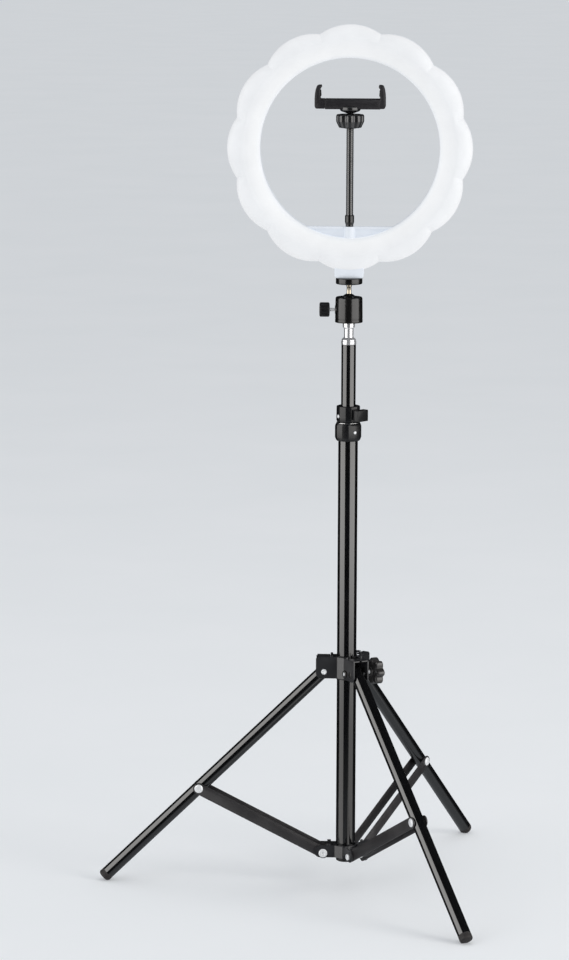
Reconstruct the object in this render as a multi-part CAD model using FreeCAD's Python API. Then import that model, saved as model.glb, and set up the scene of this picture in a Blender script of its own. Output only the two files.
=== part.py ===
import FreeCAD, Part
import math
import os
from FreeCAD import Vector as V

# Ring light on a three-section telescopic floor stand.
# Units are millimetres. Origin: the mast's axis at floor level. +Z is up and the lamp shines towards -Y.
os.makedirs("parts", exist_ok=True)

# ---------------------------------------------------------------- driving dimensions
RING_Z = 803.0          # height of the lamp's centre
RING_PEAK_R = 130.0     # outermost point of each lobe
RING_LOBES = 12
RING_LOBE_ARC_R = 54.0  # radius of each lobe's outline
RING_HOLE_R = 95.0      # see-through hole
RING_FRONT_Y = -14.0
RING_SPLIT_Y = -2.0     # joint between diffuser and rear housing
RING_BACK_Y = 14.0
SHELL = 2.0             # moulded wall

NECK_W = 31.0
NECK_Z = 665.8          # underside of the lamp's neck
BRIDGE_TOP_Z = 720.0    # top edge of the tray across the hole

BALL_Z = 640.0
BALL_R = 9.0
HOUSING_Z0, HOUSING_Z1 = 618.0, 645.3
SPIGOT_Z0 = 594.4
KNOB_Z = 631.4

LOWER_OD, LOWER_WALL = 21.0, 0.8
MIDDLE_OD, MIDDLE_WALL = 18.0, 0.7
UPPER_OD, UPPER_WALL = 15.5, 0.7
LOWER_Z0, LOWER_Z1 = 29.5, 505.0
MIDDLE_Z0, MIDDLE_Z1 = 42.0, 522.0
UPPER_Z0, UPPER_Z1 = 122.5, 594.4
LCLAMP_Z0, LCLAMP_Z1 = 490.8, 510.5
UCLAMP_Z0, UCLAMP_Z1 = 510.7, 528.3
RUN = 0.04              # radial running clearance

LEG_AZIMUTHS = (180.0, 300.0, 60.0)
LEG_OD, LEG_WALL = 14.0, 0.8
PIVOT_R = 24.2          # leg pivots and brace pivots lie at this distance from the mast's axis
PIVOT_Z = 238.3         # leg pivots on the sliding spider
BASE_Z = 36.0           # brace pivots on the base collar
LEG_A = 190.0           # leg pivot to brace pin
LEG_ALPHA = 45.77       # leg's angle from vertical, open
LEG_END = 336.9         # leg pivot to the foot's end
FOOT_FLAT_Z = 0.0
BRACE_B = 152.96        # brace length between pins
BRACE_BETA = 62.85      # brace's angle from vertical, open
STRIP_W, STRIP_T = 12.5, 1.2
STRIP_N = 7.2           # inner face of each strip, from the leg's plane
SPIDER_Z0, SPIDER_Z1 = 231.0, 254.6
SPIDER_EAR_R = 33.0
SPIDER_N0, SPIDER_N1 = 7.9, 9.1
BASE_Z0, BASE_Z1 = 31.2, 44.6
BASE_EAR_R = 34.0
BASE_N0, BASE_N1 = 8.6, 10.1
BOLT_RHO, BOLT_Z = 13.6, 237.5
BOLT_AZ = 30.0          # spider clamp bolt's direction, square to the leg at 300 degrees

NECK_BENDS = 3          # bending places of the gooseneck
GN_R = 3.85
GN_Z0, GN_Z1 = 732.4, 824.0
SOCKET_Z = 834.0        # centre of the phone clamp's ball
SOCKET_R = 6.0
CLAMP_Z0, CLAMP_Z1 = 844.2, 855.0
CLAMP_HALF = 37.5
CLAMP_Y = 8.0

made = []


def out(name, *shapes):
    solids = []
    for s in shapes:
        solids += s.Solids
    shape = solids[0] if len(solids) == 1 else Part.makeCompound(solids)
    for s in solids:
        if not s.isValid() or s.Volume <= 0:
            print("BAD SOLID", name, s.isValid(), s.Volume)
    shape.exportStep("parts/" + name + ".step")
    made.append((name, len(solids), round(sum(s.Volume for s in solids), 1)))


def cyl(r, z0, z1, x=0.0, y=0.0):
    return Part.makeCylinder(r, z1 - z0, V(x, y, z0), V(0, 0, 1))


def rod(r, a, b):
    a, b = V(*a), V(*b)
    d = b - a
    return Part.makeCylinder(r, d.Length, a, d)


def tube(ro, ri, z0, z1):
    return cyl(ro, z0, z1).cut(cyl(ri, z0 - 1, z1 + 1))


def box(x0, y0, z0, x1, y1, z1):
    return Part.makeBox(x1 - x0, y1 - y0, z1 - z0, V(x0, y0, z0))


def turned(points):
    """Solid of revolution about +Z from (r, z) corners."""
    p = [V(r, 0, z) for r, z in points]
    face = Part.Face(Part.makePolygon(p + [p[0]]))
    return face.revolve(V(0, 0, 0), V(0, 0, 1), 360)


def prism(points, direction):
    p = [V(*q) for q in points]
    return Part.Face(Part.makePolygon(p + [p[0]])).extrude(V(*direction))


def sphere(r, x, y, z):
    return Part.makeSphere(r, V(x, y, z))


def spun(shape, az, at=(0, 0, 0), axis=(0, 0, 1)):
    s = shape.copy()
    s.rotate(V(*at), V(*axis), az)
    return s


def fuse(first, *rest):
    s = first
    for r in rest:
        s = s.fuse(r)
    return s.removeSplitter()


def fuse_raw(first, *rest):
    s = first
    for r in rest:
        s = s.fuse(r)
    return s


def radial(az, rho, n, z):
    a = math.radians(az)
    return (rho * math.cos(a) - n * math.sin(a), rho * math.sin(a) + n * math.cos(a), z)


# ================================================================ lamp head
CY = V(0, 0, RING_Z)


def lobed(inset, y0, y1):
    """Scalloped disc about the lamp's axis, with its outline moved in by inset."""
    arc_r = RING_LOBE_ARC_R - inset
    centre = RING_PEAK_R - RING_LOBE_ARC_R
    half = math.pi / RING_LOBES
    # where neighbouring arcs meet
    c, s = math.cos(half), math.sin(half)
    rho = centre * c + math.sqrt(arc_r ** 2 - (centre * s) ** 2)
    edges = []
    for k in range(RING_LOBES):
        a = 2 * math.pi * k / RING_LOBES + math.pi / 2

        def at(r, t):
            return V(r * math.cos(t), y0, RING_Z + r * math.sin(t))

        edges.append(Part.Arc(at(rho, a - half), at(centre + arc_r, a), at(rho, a + half)).toShape())
    return Part.Face(Part.Wire(edges)).extrude(V(0, y1 - y0, 0))


def disc_y(r, y0, y1, x=0.0, z=RING_Z):
    return Part.makeCylinder(r, y1 - y0, V(x, y0, z), V(0, 1, 0))


def turned_y(points):
    """Solid of revolution about the lamp's axis from (r, y) corners."""
    p = [V(r, y, RING_Z) for r, y in points]
    face = Part.Face(Part.makePolygon(p + [p[0]]))
    return face.revolve(CY, V(0, 1, 0), 360)


# opal diffuser: scalloped outside, domed front, hollow behind
dome = turned_y([(RING_HOLE_R, RING_SPLIT_Y), (RING_HOLE_R, -10.5), (96.5, -12.6), (100.0, -13.4), (106.0, -13.7),
                 (113.0, -14.0), (120.0, -13.2), (125.5, -11.2), (129.0, -7.6), (131.0, -2.0)])
dome_in = turned_y([(RING_HOLE_R + SHELL, RING_SPLIT_Y + 1), (RING_HOLE_R + SHELL, -9.0), (100.0, -11.3), (106.0, -11.7),
                    (113.0, -12.0), (119.0, -11.2), (124.0, -9.3), (126.5, -6.5), (128.0, -1.0)])
diffuser = lobed(0.0, RING_FRONT_Y - 1, RING_SPLIT_Y).common(dome)
hollow = lobed(SHELL, RING_FRONT_Y - 1, RING_SPLIT_Y + 1).common(dome_in)
diffuser = diffuser.cut(hollow)
post_angles = [60 * k for k in range(6)]
posts = []
for a in post_angles:
    t = math.radians(a)
    px, pz = 109.5 * math.cos(t), RING_Z + 109.5 * math.sin(t)
    posts.append((px, pz))
    p = disc_y(3.2, -12.2, -1.0, px, pz)
    diffuser = diffuser.fuse(p)
for px, pz in posts:
    diffuser = diffuser.cut(disc_y(1.25, -8.0, 1.0, px, pz))
out("front_diffuser", diffuser)

# rear housing: scalloped tray with a chamfered back, neck block and tray across the bottom of the hole
back = turned_y([(RING_HOLE_R, RING_SPLIT_Y), (131.0, RING_SPLIT_Y), (131.0, 8.0), (127.0, 12.0), (120.0, RING_BACK_Y),
                 (100.0, RING_BACK_Y), (96.5, 12.8), (RING_HOLE_R, 10.5)])
back_in = turned_y([(RING_HOLE_R + SHELL, RING_SPLIT_Y - 1), (129.0, RING_SPLIT_Y - 1), (129.0, 7.0), (125.0, 10.5),
                    (119.0, RING_BACK_Y - SHELL), (101.0, RING_BACK_Y - SHELL), (97.6, 10.5), (RING_HOLE_R + SHELL, 9.0)])
housing = lobed(0.0, RING_SPLIT_Y, RING_BACK_Y).common(back)
# neck block below the ring
neck = box(-NECK_W / 2, -9.0, NECK_Z, NECK_W / 2, 13.0, 690.0)
neck = neck.makeFillet(3.5, [e for e in neck.Edges if abs(e.BoundBox.ZMax - NECK_Z) < 0.01 and e.BoundBox.YLength > 5])
# tray: segment of the hole below its flat top edge, with a rim at the top, and a boss for the arm
tray = disc_y(RING_HOLE_R + 0.8, 3.0, 6.0).common(box(-70, -20, 700, 70, 20, BRIDGE_TOP_Z))
tray_rim = disc_y(RING_HOLE_R + 0.8, -1.5, 7.5).common(box(-70, -20, BRIDGE_TOP_Z - 2.0, 70, 20, BRIDGE_TOP_Z))
boss = fuse(cyl(5.6, 706.0, BRIDGE_TOP_Z), box(-5.6, 0, 706.0, 5.6, 4.0, BRIDGE_TOP_Z))
keep_front = disc_y(RING_HOLE_R, -30, 30).fuse(disc_y(RING_HOLE_R + SHELL, RING_SPLIT_Y, 30))
boss = boss.common(keep_front)
neck_clear = lobed(0.0, RING_FRONT_Y - 2, RING_SPLIT_Y)
housing = fuse_raw(housing, neck.cut(neck_clear))
# the hollow leaves six pillars that carry the board and take the screws
cavity = lobed(SHELL, RING_SPLIT_Y - 1, RING_BACK_Y).common(back_in)
for px, pz in posts:
    cavity = cavity.cut(disc_y(3.2, -1.0, 20.0, px, pz))
housing = housing.cut(cavity)
housing = fuse_raw(housing, tray, tray_rim, boss)
# neck socket for the threaded insert, rear socket for the power inlet
housing = housing.cut(cyl(6.0, NECK_Z - 1, 673.0))
housing = housing.cut(cyl(3.3, NECK_Z - 1, 674.5))
housing = housing.cut(cyl(4.2, 711.0, BRIDGE_TOP_Z + 1))
inlet_z = 672.2
housing = housing.cut(disc_y(3.9, 8.0, 20.0, 0.0, inlet_z))
for px, pz in posts:
    housing = housing.cut(disc_y(1.35, -3, 20, px, pz)).cut(disc_y(2.7, 12.6, 20, px, pz))
# vent slots in the back, between the screws
for k in range(6):
    t = math.radians(60 * k + 30)
    for d in (-6.0, 0.0, 6.0):
        c = V(109.0 * math.cos(t), 0, RING_Z + 109.0 * math.sin(t))
        s = box(c.x - 6.0, 10.0, c.z - 1.0, c.x + 6.0, 20.0, c.z + 1.0)
        s.translate(V(0, 0, d))
        s.rotate(c, V(0, -1, 0), 60 * k + 30 - 90)
        housing = housing.cut(s)
out("rear_housing", housing)

board = turned_y([(97.6, 1.0), (120.5, 1.0), (120.5, 2.6), (97.6, 2.6)])
for px, pz in posts:
    board = board.cut(disc_y(3.3, 0, 4, px, pz))
chips = []
for k in range(36):
    if (k * 10) % 60 == 0:
        continue
    c = box(-1.75, 0.2, -1.4, 1.75, 1.0, 1.4)
    c.rotate(V(0, 0, 0), V(0, -1, 0), k * 10)
    t = math.radians(k * 10)
    c.translate(V(109.0 * math.cos(t), 0, RING_Z + 109.0 * math.sin(t)))
    chips.append(c)
out("led_board", board, *chips)
screws = []
for px, pz in posts:
    s = fuse(disc_y(2.5, 12.6, 13.9, px, pz), disc_y(1.25, -7.0, 12.6, px, pz))
    s = s.cut(box(px - 0.35, 13.3, pz - 1.8, px + 0.35, 14.5, pz + 1.8)).cut(box(px - 1.8, 13.3, pz - 0.35, px + 1.8, 14.5, pz + 0.35))
    screws.append(s)
out("housing_screws", *screws)
out("threaded_inserts", tube(6.0, 3.15, NECK_Z, 673.0), tube(4.2, 2.95, 711.0, BRIDGE_TOP_Z))
inlet = disc_y(3.9, 8.0, 13.0, 0.0, inlet_z).fuse(disc_y(4.9, 13.0, 13.8, 0.0, inlet_z))
inlet = inlet.cut(disc_y(2.8, 9.2, 15.0, 0.0, inlet_z)).fuse(disc_y(0.75, 9.0, 13.2, 0.0, inlet_z))
out("power_inlet", inlet)

# ================================================================ ball head
ball = sphere(BALL_R, 0, 0, BALL_Z)
stem = fuse(ball, cyl(2.5, BALL_Z + 5, 657.0), cyl(3.1, 656.0, 671.5))
out("ball_stem", stem)
disc = turned([(3.15, 659.0), (13.4, 659.0), (14.15, 659.8), (14.15, 664.8), (13.4, 665.7), (3.15, 665.7)])
out("lock_disc", disc)
cup = cyl(11.0, 628.0, 638.5).cut(sphere(BALL_R + RUN, 0, 0, BALL_Z)).cut(cyl(4.0, 627, 640))
out("ball_cup", cup)
shell = turned([(0, HOUSING_Z0), (14.2, HOUSING_Z0), (14.75, HOUSING_Z0 + 0.6), (14.75, 621.4), (14.45, 621.8), (14.45, 622.2),
                (14.7, 622.6), (14.35, 643.9), (13.5, HOUSING_Z1), (0, HOUSING_Z1)])
shell = shell.cut(cyl(11.0 + RUN, 627.9, 639.0)).cut(sphere(BALL_R + 0.06, 0, 0, BALL_Z)).cut(cyl(7.7, 642.0, 650.0))
shell = shell.cut(turned([(0, 644.3), (7.6, 644.3), (8.7, 646.0), (0, 646.0)]))
shell = shell.cut(rod(2.0, (-20, 0, KNOB_Z), (0, 0, KNOB_Z)))
shell = shell.cut(cyl(3.15, 610, 625.5))
lug = rod(4.4, (-14.9, 0, KNOB_Z), (-12.2, 0, KNOB_Z)).cut(rod(2.0, (-20, 0, KNOB_Z), (0, 0, KNOB_Z)))
shell = shell.fuse(lug.cut(cyl(13.0, 620, 640)))
out("ball_head_housing", shell)

# lock knob on the left, its steel screw ends just short of the cup
knob_pts = []
kr = 7.75
knob = rod(kr, (-31.5, 0, KNOB_Z), (-20.6, 0, KNOB_Z))
knob = knob.makeChamfer(0.7, [e for e in knob.Edges if e.BoundBox.XLength < 0.1 and e.BoundBox.YLength > 10])
for k in range(12):
    t = 2 * math.pi * k / 12
    c = ((kr + 0.9) * math.cos(t), (kr + 0.9) * math.sin(t))
    knob = knob.cut(rod(1.5, (-30.6, c[0], KNOB_Z + c[1]), (-21.4, c[0], KNOB_Z + c[1])))
knob = knob.cut(rod(1.9, (-27.0, 0, KNOB_Z), (-10, 0, KNOB_Z)))
out("ball_lock_knob", knob)
out("ball_lock_screw", rod(1.9, (-27.0, 0, KNOB_Z), (-11.3, 0, KNOB_Z)))

# chromed spigot: plug in the tube, flange, cone, waist, groove, head, stud into the housing
plug_r = UPPER_OD / 2 - UPPER_WALL
spigot = turned([(0, 574.0), (plug_r - 0.8, 574.0), (plug_r, 575.0), (plug_r, SPIGOT_Z0), (8.0, SPIGOT_Z0), (8.0, 597.4), (7.7, 597.9),
                 (7.7, 599.6), (5.3, 601.8), (5.1, 602.4), (5.1, 611.6), (6.45, 612.8), (6.45, HOUSING_Z0), (3.15, HOUSING_Z0), (3.15, 625.5), (0, 625.5)])
out("spigot", spigot)

# ================================================================ mast tubes
upper = tube(UPPER_OD / 2, UPPER_OD / 2 - UPPER_WALL, UPPER_Z0, UPPER_Z1)
for s in (-1, 1):
    # crimped dimple that locks the spigot
    upper = upper.cut(rod(1.3, (0, s * 12.0, 588.8), (0, s * (UPPER_OD / 2 - 0.45), 588.8)))
out("upper_tube", upper)
out("upper_tube_bush", fuse(tube(MIDDLE_OD / 2 - MIDDLE_WALL - RUN, UPPER_OD / 2, UPPER_Z0, UPPER_Z0 + 18),
                            tube(MIDDLE_OD / 2 - MIDDLE_WALL - RUN, 5.0, UPPER_Z0 - 2.0, UPPER_Z0)))
middle = tube(MIDDLE_OD / 2, MIDDLE_OD / 2 - MIDDLE_WALL, MIDDLE_Z0, MIDDLE_Z1)
out("middle_tube", middle)
out("middle_tube_bush", fuse(tube(LOWER_OD / 2 - LOWER_WALL - RUN, MIDDLE_OD / 2, MIDDLE_Z0, MIDDLE_Z0 + 18),
                             tube(LOWER_OD / 2 - LOWER_WALL - RUN, 6.5, MIDDLE_Z0 - 2.0, MIDDLE_Z0)))
out("lower_tube", tube(LOWER_OD / 2, LOWER_OD / 2 - LOWER_WALL, LOWER_Z0, LOWER_Z1))
out("bottom_plug", turned([(0, 26.0), (9.0, 26.0), (10.2, 26.8), (10.2, LOWER_Z0), (LOWER_OD / 2 - LOWER_WALL, LOWER_Z0),
                           (LOWER_OD / 2 - LOWER_WALL, 38.0), (0, 38.0)]))

# ================================================================ height clamps
# The collar's ear and screw lie along a radial direction; screws stop just short of the sliding tube.
UK_AZ = -40.0
LK_AZ = 100.0

ucol = turned([(UPPER_OD / 2 + RUN, UCLAMP_Z0), (11.4, UCLAMP_Z0), (12.8, UCLAMP_Z0 + 1.4), (12.8, UCLAMP_Z1 - 0.9), (11.9, UCLAMP_Z1),
               (UPPER_OD / 2 + RUN, UCLAMP_Z1)])
UKZ = 519.1
ulug = fuse(box(6, -4.6, UKZ - 6.6, 13.2, 4.6, UKZ + 6.6), rod(4.2, (6, 0, UKZ), (13.7, 0, UKZ)))
ucol = fuse(ucol, ulug.cut(cyl(10.0, 500, 530)))
ucol = ucol.cut(cyl(MIDDLE_OD / 2, 500, MIDDLE_Z1))
ucol = ucol.cut(rod(2.04, (0, 0, UKZ), (20, 0, UKZ)))
ucol = spun(ucol, UK_AZ)
out("upper_clamp_collar", ucol)
# middle tube needs the matching hole so that the screw reaches the upper tube
middle = middle.cut(spun(rod(2.6, (0, 0, UKZ), (20, 0, UKZ)), UK_AZ))
made.pop([m[0] for m in made].index("middle_tube"))
out("middle_tube", middle)
# paddle knob: hub and a thick rectangular wing
hub = rod(4.0, (13.8, 0, UKZ), (18.0, 0, UKZ))
wing = box(14.6, -8.2, UKZ - 6.1, 21.4, 8.2, UKZ + 6.1)
wing = wing.common(rod(9.4, (14, 0, UKZ), (22, 0, UKZ)))
uk = fuse(hub, wing, rod(2.0, (UPPER_OD / 2 + 0.15, 0, UKZ), (18.0, 0, UKZ)))
out("upper_clamp_knob", spun(uk, UK_AZ))

lcol = turned([(MIDDLE_OD / 2 + RUN, LCLAMP_Z0), (12.2, LCLAMP_Z0), (14.1, LCLAMP_Z0 + 3.2), (14.1, 507.0), (12.9, 509.6), (12.4, LCLAMP_Z1),
               (MIDDLE_OD / 2 + RUN, LCLAMP_Z1)])
LKZ = 500.1
llug = fuse(box(8, -5.0, LKZ - 7.0, 14.5, 5.0, LKZ + 6.6), rod(4.4, (8, 0, LKZ), (15.0, 0, LKZ)))
lcol = fuse(lcol, llug.cut(cyl(11.5, 480, 510)))
lcol = lcol.cut(cyl(LOWER_OD / 2, 480, LOWER_Z1))
lcol = lcol.cut(rod(2.04, (0, 0, LKZ), (20, 0, LKZ)))
out("lower_clamp_collar", spun(lcol, LK_AZ))
lower = tube(LOWER_OD / 2, LOWER_OD / 2 - LOWER_WALL, LOWER_Z0, LOWER_Z1).cut(spun(rod(2.6, (0, 0, LKZ), (20, 0, LKZ)), LK_AZ))
made.pop([m[0] for m in made].index("lower_tube"))
out("lower_tube", lower)
hub = rod(4.2, (15.1, 0, LKZ), (20.0, 0, LKZ))
wing = box(16.4, -8.6, LKZ - 6.4, 23.6, 8.6, LKZ + 6.4).common(rod(9.8, (16, 0, LKZ), (24, 0, LKZ)))
lk = fuse(hub, wing, rod(2.0, (MIDDLE_OD / 2 + 0.15, 0, LKZ), (20.0, 0, LKZ)))
out("lower_clamp_knob", spun(lk, LK_AZ))


# small rivets that hold the collars on their tubes
def collar_rivet(r_in, r_out, az, z, head_r=1.9, shank_r=1.1):
    s = rod(shank_r, (r_in, 0, z), (r_out, 0, z)).fuse(rod(head_r, (r_out, 0, z), (r_out + 0.7, 0, z)))
    return spun(s, az)


# ---- rivet bores through collar and tube (the rivets grip both)
def rivet_bore(az, z):
    return spun(rod(1.1, (0, 0, z), (30, 0, z)), az)


ucol = ucol.cut(rivet_bore(214.0, 517.5))
middle = middle.cut(rivet_bore(214.0, 517.5))
lcol = spun(lcol, LK_AZ).cut(rivet_bore(-56.0, 500.6))
lower = lower.cut(rivet_bore(-56.0, 500.6))
for name, s in (("upper_clamp_collar", ucol), ("middle_tube", middle), ("lower_clamp_collar", lcol), ("lower_tube", lower)):
    made.pop([m[0] for m in made].index(name))
    out(name, s)
out("upper_collar_rivet", collar_rivet(MIDDLE_OD / 2 - MIDDLE_WALL + 0.1, 12.81, 214.0, 517.5))
lower_collar_rivet = collar_rivet(LOWER_OD / 2 - LOWER_WALL + 0.1, 14.11, -56.0, 500.6, 1.6)

# ================================================================ spider (sliding bracket at the top of the legs)
band = tube(12.8, 11.7, SPIDER_Z0, SPIDER_Z1)
spider = band
for az in LEG_AZIMUTHS:
    for sgn in (-1, 1):
        n0, n1 = sorted((sgn * SPIDER_N0, sgn * SPIDER_N1))
        plate = box(8.4, n0, SPIDER_Z0, SPIDER_EAR_R, n1, SPIDER_Z1)
        # rounded lower and upper outer corners
        cut = box(SPIDER_EAR_R - 5, n0 - 1, SPIDER_Z0 - 1, SPIDER_EAR_R + 1, n1 + 1, SPIDER_Z0 + 5).cut(
            Part.makeCylinder(5, 4, V(SPIDER_EAR_R - 5, n0 - 1.2, SPIDER_Z0 + 5), V(0, 1, 0)))
        plate = plate.cut(cut)
        plate = plate.cut(cyl(11.7, 200, 300))
        flange_n0, flange_n1 = sorted((sgn * 1.4, sgn * SPIDER_N1))
        flange = box(18.0, flange_n0, SPIDER_Z1 - 1.2, SPIDER_EAR_R - 1.0, flange_n1, SPIDER_Z1)
        lug_x = box(14.8, n0, SPIDER_Z1 - 0.5, 18.8, n1, SPIDER_Z1 + 1.8)
        s = plate.fuse(flange).fuse(lug_x)
        spider = spider.fuse(spun(s, az))
for az in LEG_AZIMUTHS:
    # leg pivot holes
    spider = spider.cut(spun(rod(2.0, (PIVOT_R, -12, PIVOT_Z), (PIVOT_R, 12, PIVOT_Z)), az))
bolt_bore = spun(rod(2.06, (BOLT_RHO, -12, BOLT_Z), (BOLT_RHO, 12, BOLT_Z)), 300.0)
slit = spun(box(9.0, -1.6, SPIDER_Z0 - 1, 14.0, 1.6, SPIDER_Z1 + 1), 300.0)
spider = spider.cut(bolt_bore).cut(slit)
out("spider_bracket", spider)
sleeve = tube(11.7, LOWER_OD / 2 + RUN, SPIDER_Z0 - 1.4, SPIDER_Z1 + 1.0)
sleeve = sleeve.cut(spun(rod(2.2, (BOLT_RHO, -12, BOLT_Z), (BOLT_RHO, 12, BOLT_Z)), 300.0)).cut(spun(box(9.0, -1.2, 220, 14.0, 1.2, 260), 300.0))
out("spider_sleeve", sleeve)
rivets = []
for az in LEG_AZIMUTHS:
    s = rod(2.0, (PIVOT_R, -9.2, PIVOT_Z), (PIVOT_R, 9.2, PIVOT_Z))
    for sgn in (-1, 1):
        # low head on the clamp bolt's side of the front ear
        head = 9.6 if az == 300.0 and sgn < 0 else 10.3
        s = s.fuse(rod(3.0, (PIVOT_R, sgn * 9.1, PIVOT_Z), (PIVOT_R, sgn * head, PIVOT_Z)))
    rivets.append(spun(s, az))
out("spider_rivets", *rivets)
# clamp bolt and lobed star knob on the front leg's ear
bolt = fuse(rod(2.0, (BOLT_RHO, -9.3, BOLT_Z), (BOLT_RHO, 29.0, BOLT_Z)), rod(4.2, (BOLT_RHO, -10.9, BOLT_Z), (BOLT_RHO, -9.2, BOLT_Z)))
out("spider_clamp_bolt", spun(bolt, 300.0))
star = rod(12.0, (BOLT_RHO, 23.4, BOLT_Z), (BOLT_RHO, 32.6, BOLT_Z))
star = star.fuse(rod(5.2, (BOLT_RHO, 20.8, BOLT_Z), (BOLT_RHO, 24.0, BOLT_Z)))
for k in range(7):
    t = 2 * math.pi * k / 7
    c = (BOLT_RHO + 11.2 * math.cos(t), BOLT_Z + 11.2 * math.sin(t))
    star = star.fuse(rod(3.7, (c[0], 23.4, c[1]), (c[0], 32.6, c[1])))
for k in range(7):
    t = 2 * math.pi * (k + 0.5) / 7
    c = (BOLT_RHO + 14.6 * math.cos(t), BOLT_Z + 14.6 * math.sin(t))
    star = star.cut(rod(3.1, (c[0], 23.0, c[1]), (c[0], 34.0, c[1])))
star = star.cut(rod(2.0, (BOLT_RHO, 18, BOLT_Z), (BOLT_RHO, 29.0, BOLT_Z)))
out("spider_star_knob", spun(star, 300.0))

# ================================================================ base collar
base = tube(12.4, LOWER_OD / 2, BASE_Z0, BASE_Z1)
for az in LEG_AZIMUTHS:
    for sgn in (-1, 1):
        n0, n1 = sorted((sgn * BASE_N0, sgn * BASE_N1))
        plate = box(7.0, n0, BASE_Z0, BASE_EAR_R, n1, BASE_Z1)
        for zc, lo in ((BASE_Z0 + 6.6, True), (BASE_Z1 - 6.6, False)):
            z0, z1 = (BASE_Z0 - 1, zc) if lo else (zc, BASE_Z1 + 1)
            cut = box(BASE_EAR_R - 6.6, n0 - 1, z0, BASE_EAR_R + 1, n1 + 1, z1).cut(
                Part.makeCylinder(6.6, 4, V(BASE_EAR_R - 6.6, n0 - 1.2, zc), V(0, 1, 0)))
            plate = plate.cut(cut)
        plate = plate.cut(cyl(LOWER_OD / 2, 0, 100))
        lug_x = box(16.0, n0, BASE_Z1 - 0.5, 20.5, n1, BASE_Z1 + 2.0)
        base = base.fuse(spun(plate.fuse(lug_x), az))
for az in LEG_AZIMUTHS:
    base = base.cut(spun(rod(2.0, (PIVOT_R, -14, BASE_Z), (PIVOT_R, 14, BASE_Z)), az))
base = base.cut(cyl(LOWER_OD / 2, 0, 100))
out("base_collar", base)
rivets = []
for az in LEG_AZIMUTHS:
    s = rod(2.0, (PIVOT_R, -10.2, BASE_Z), (PIVOT_R, 10.2, BASE_Z)).fuse(rod(2.8, (PIVOT_R, -7.0, BASE_Z), (PIVOT_R, 7.0, BASE_Z)))
    for sgn in (-1, 1):
        head = 3.4 if az == 300.0 and sgn < 0 else 4.7
        s = s.fuse(rod(head, (PIVOT_R, sgn * 10.1, BASE_Z), (PIVOT_R, sgn * 11.7, BASE_Z)))
    rivets.append(spun(s, az))
out("mast_rivets", lower_collar_rivet, *rivets)

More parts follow.
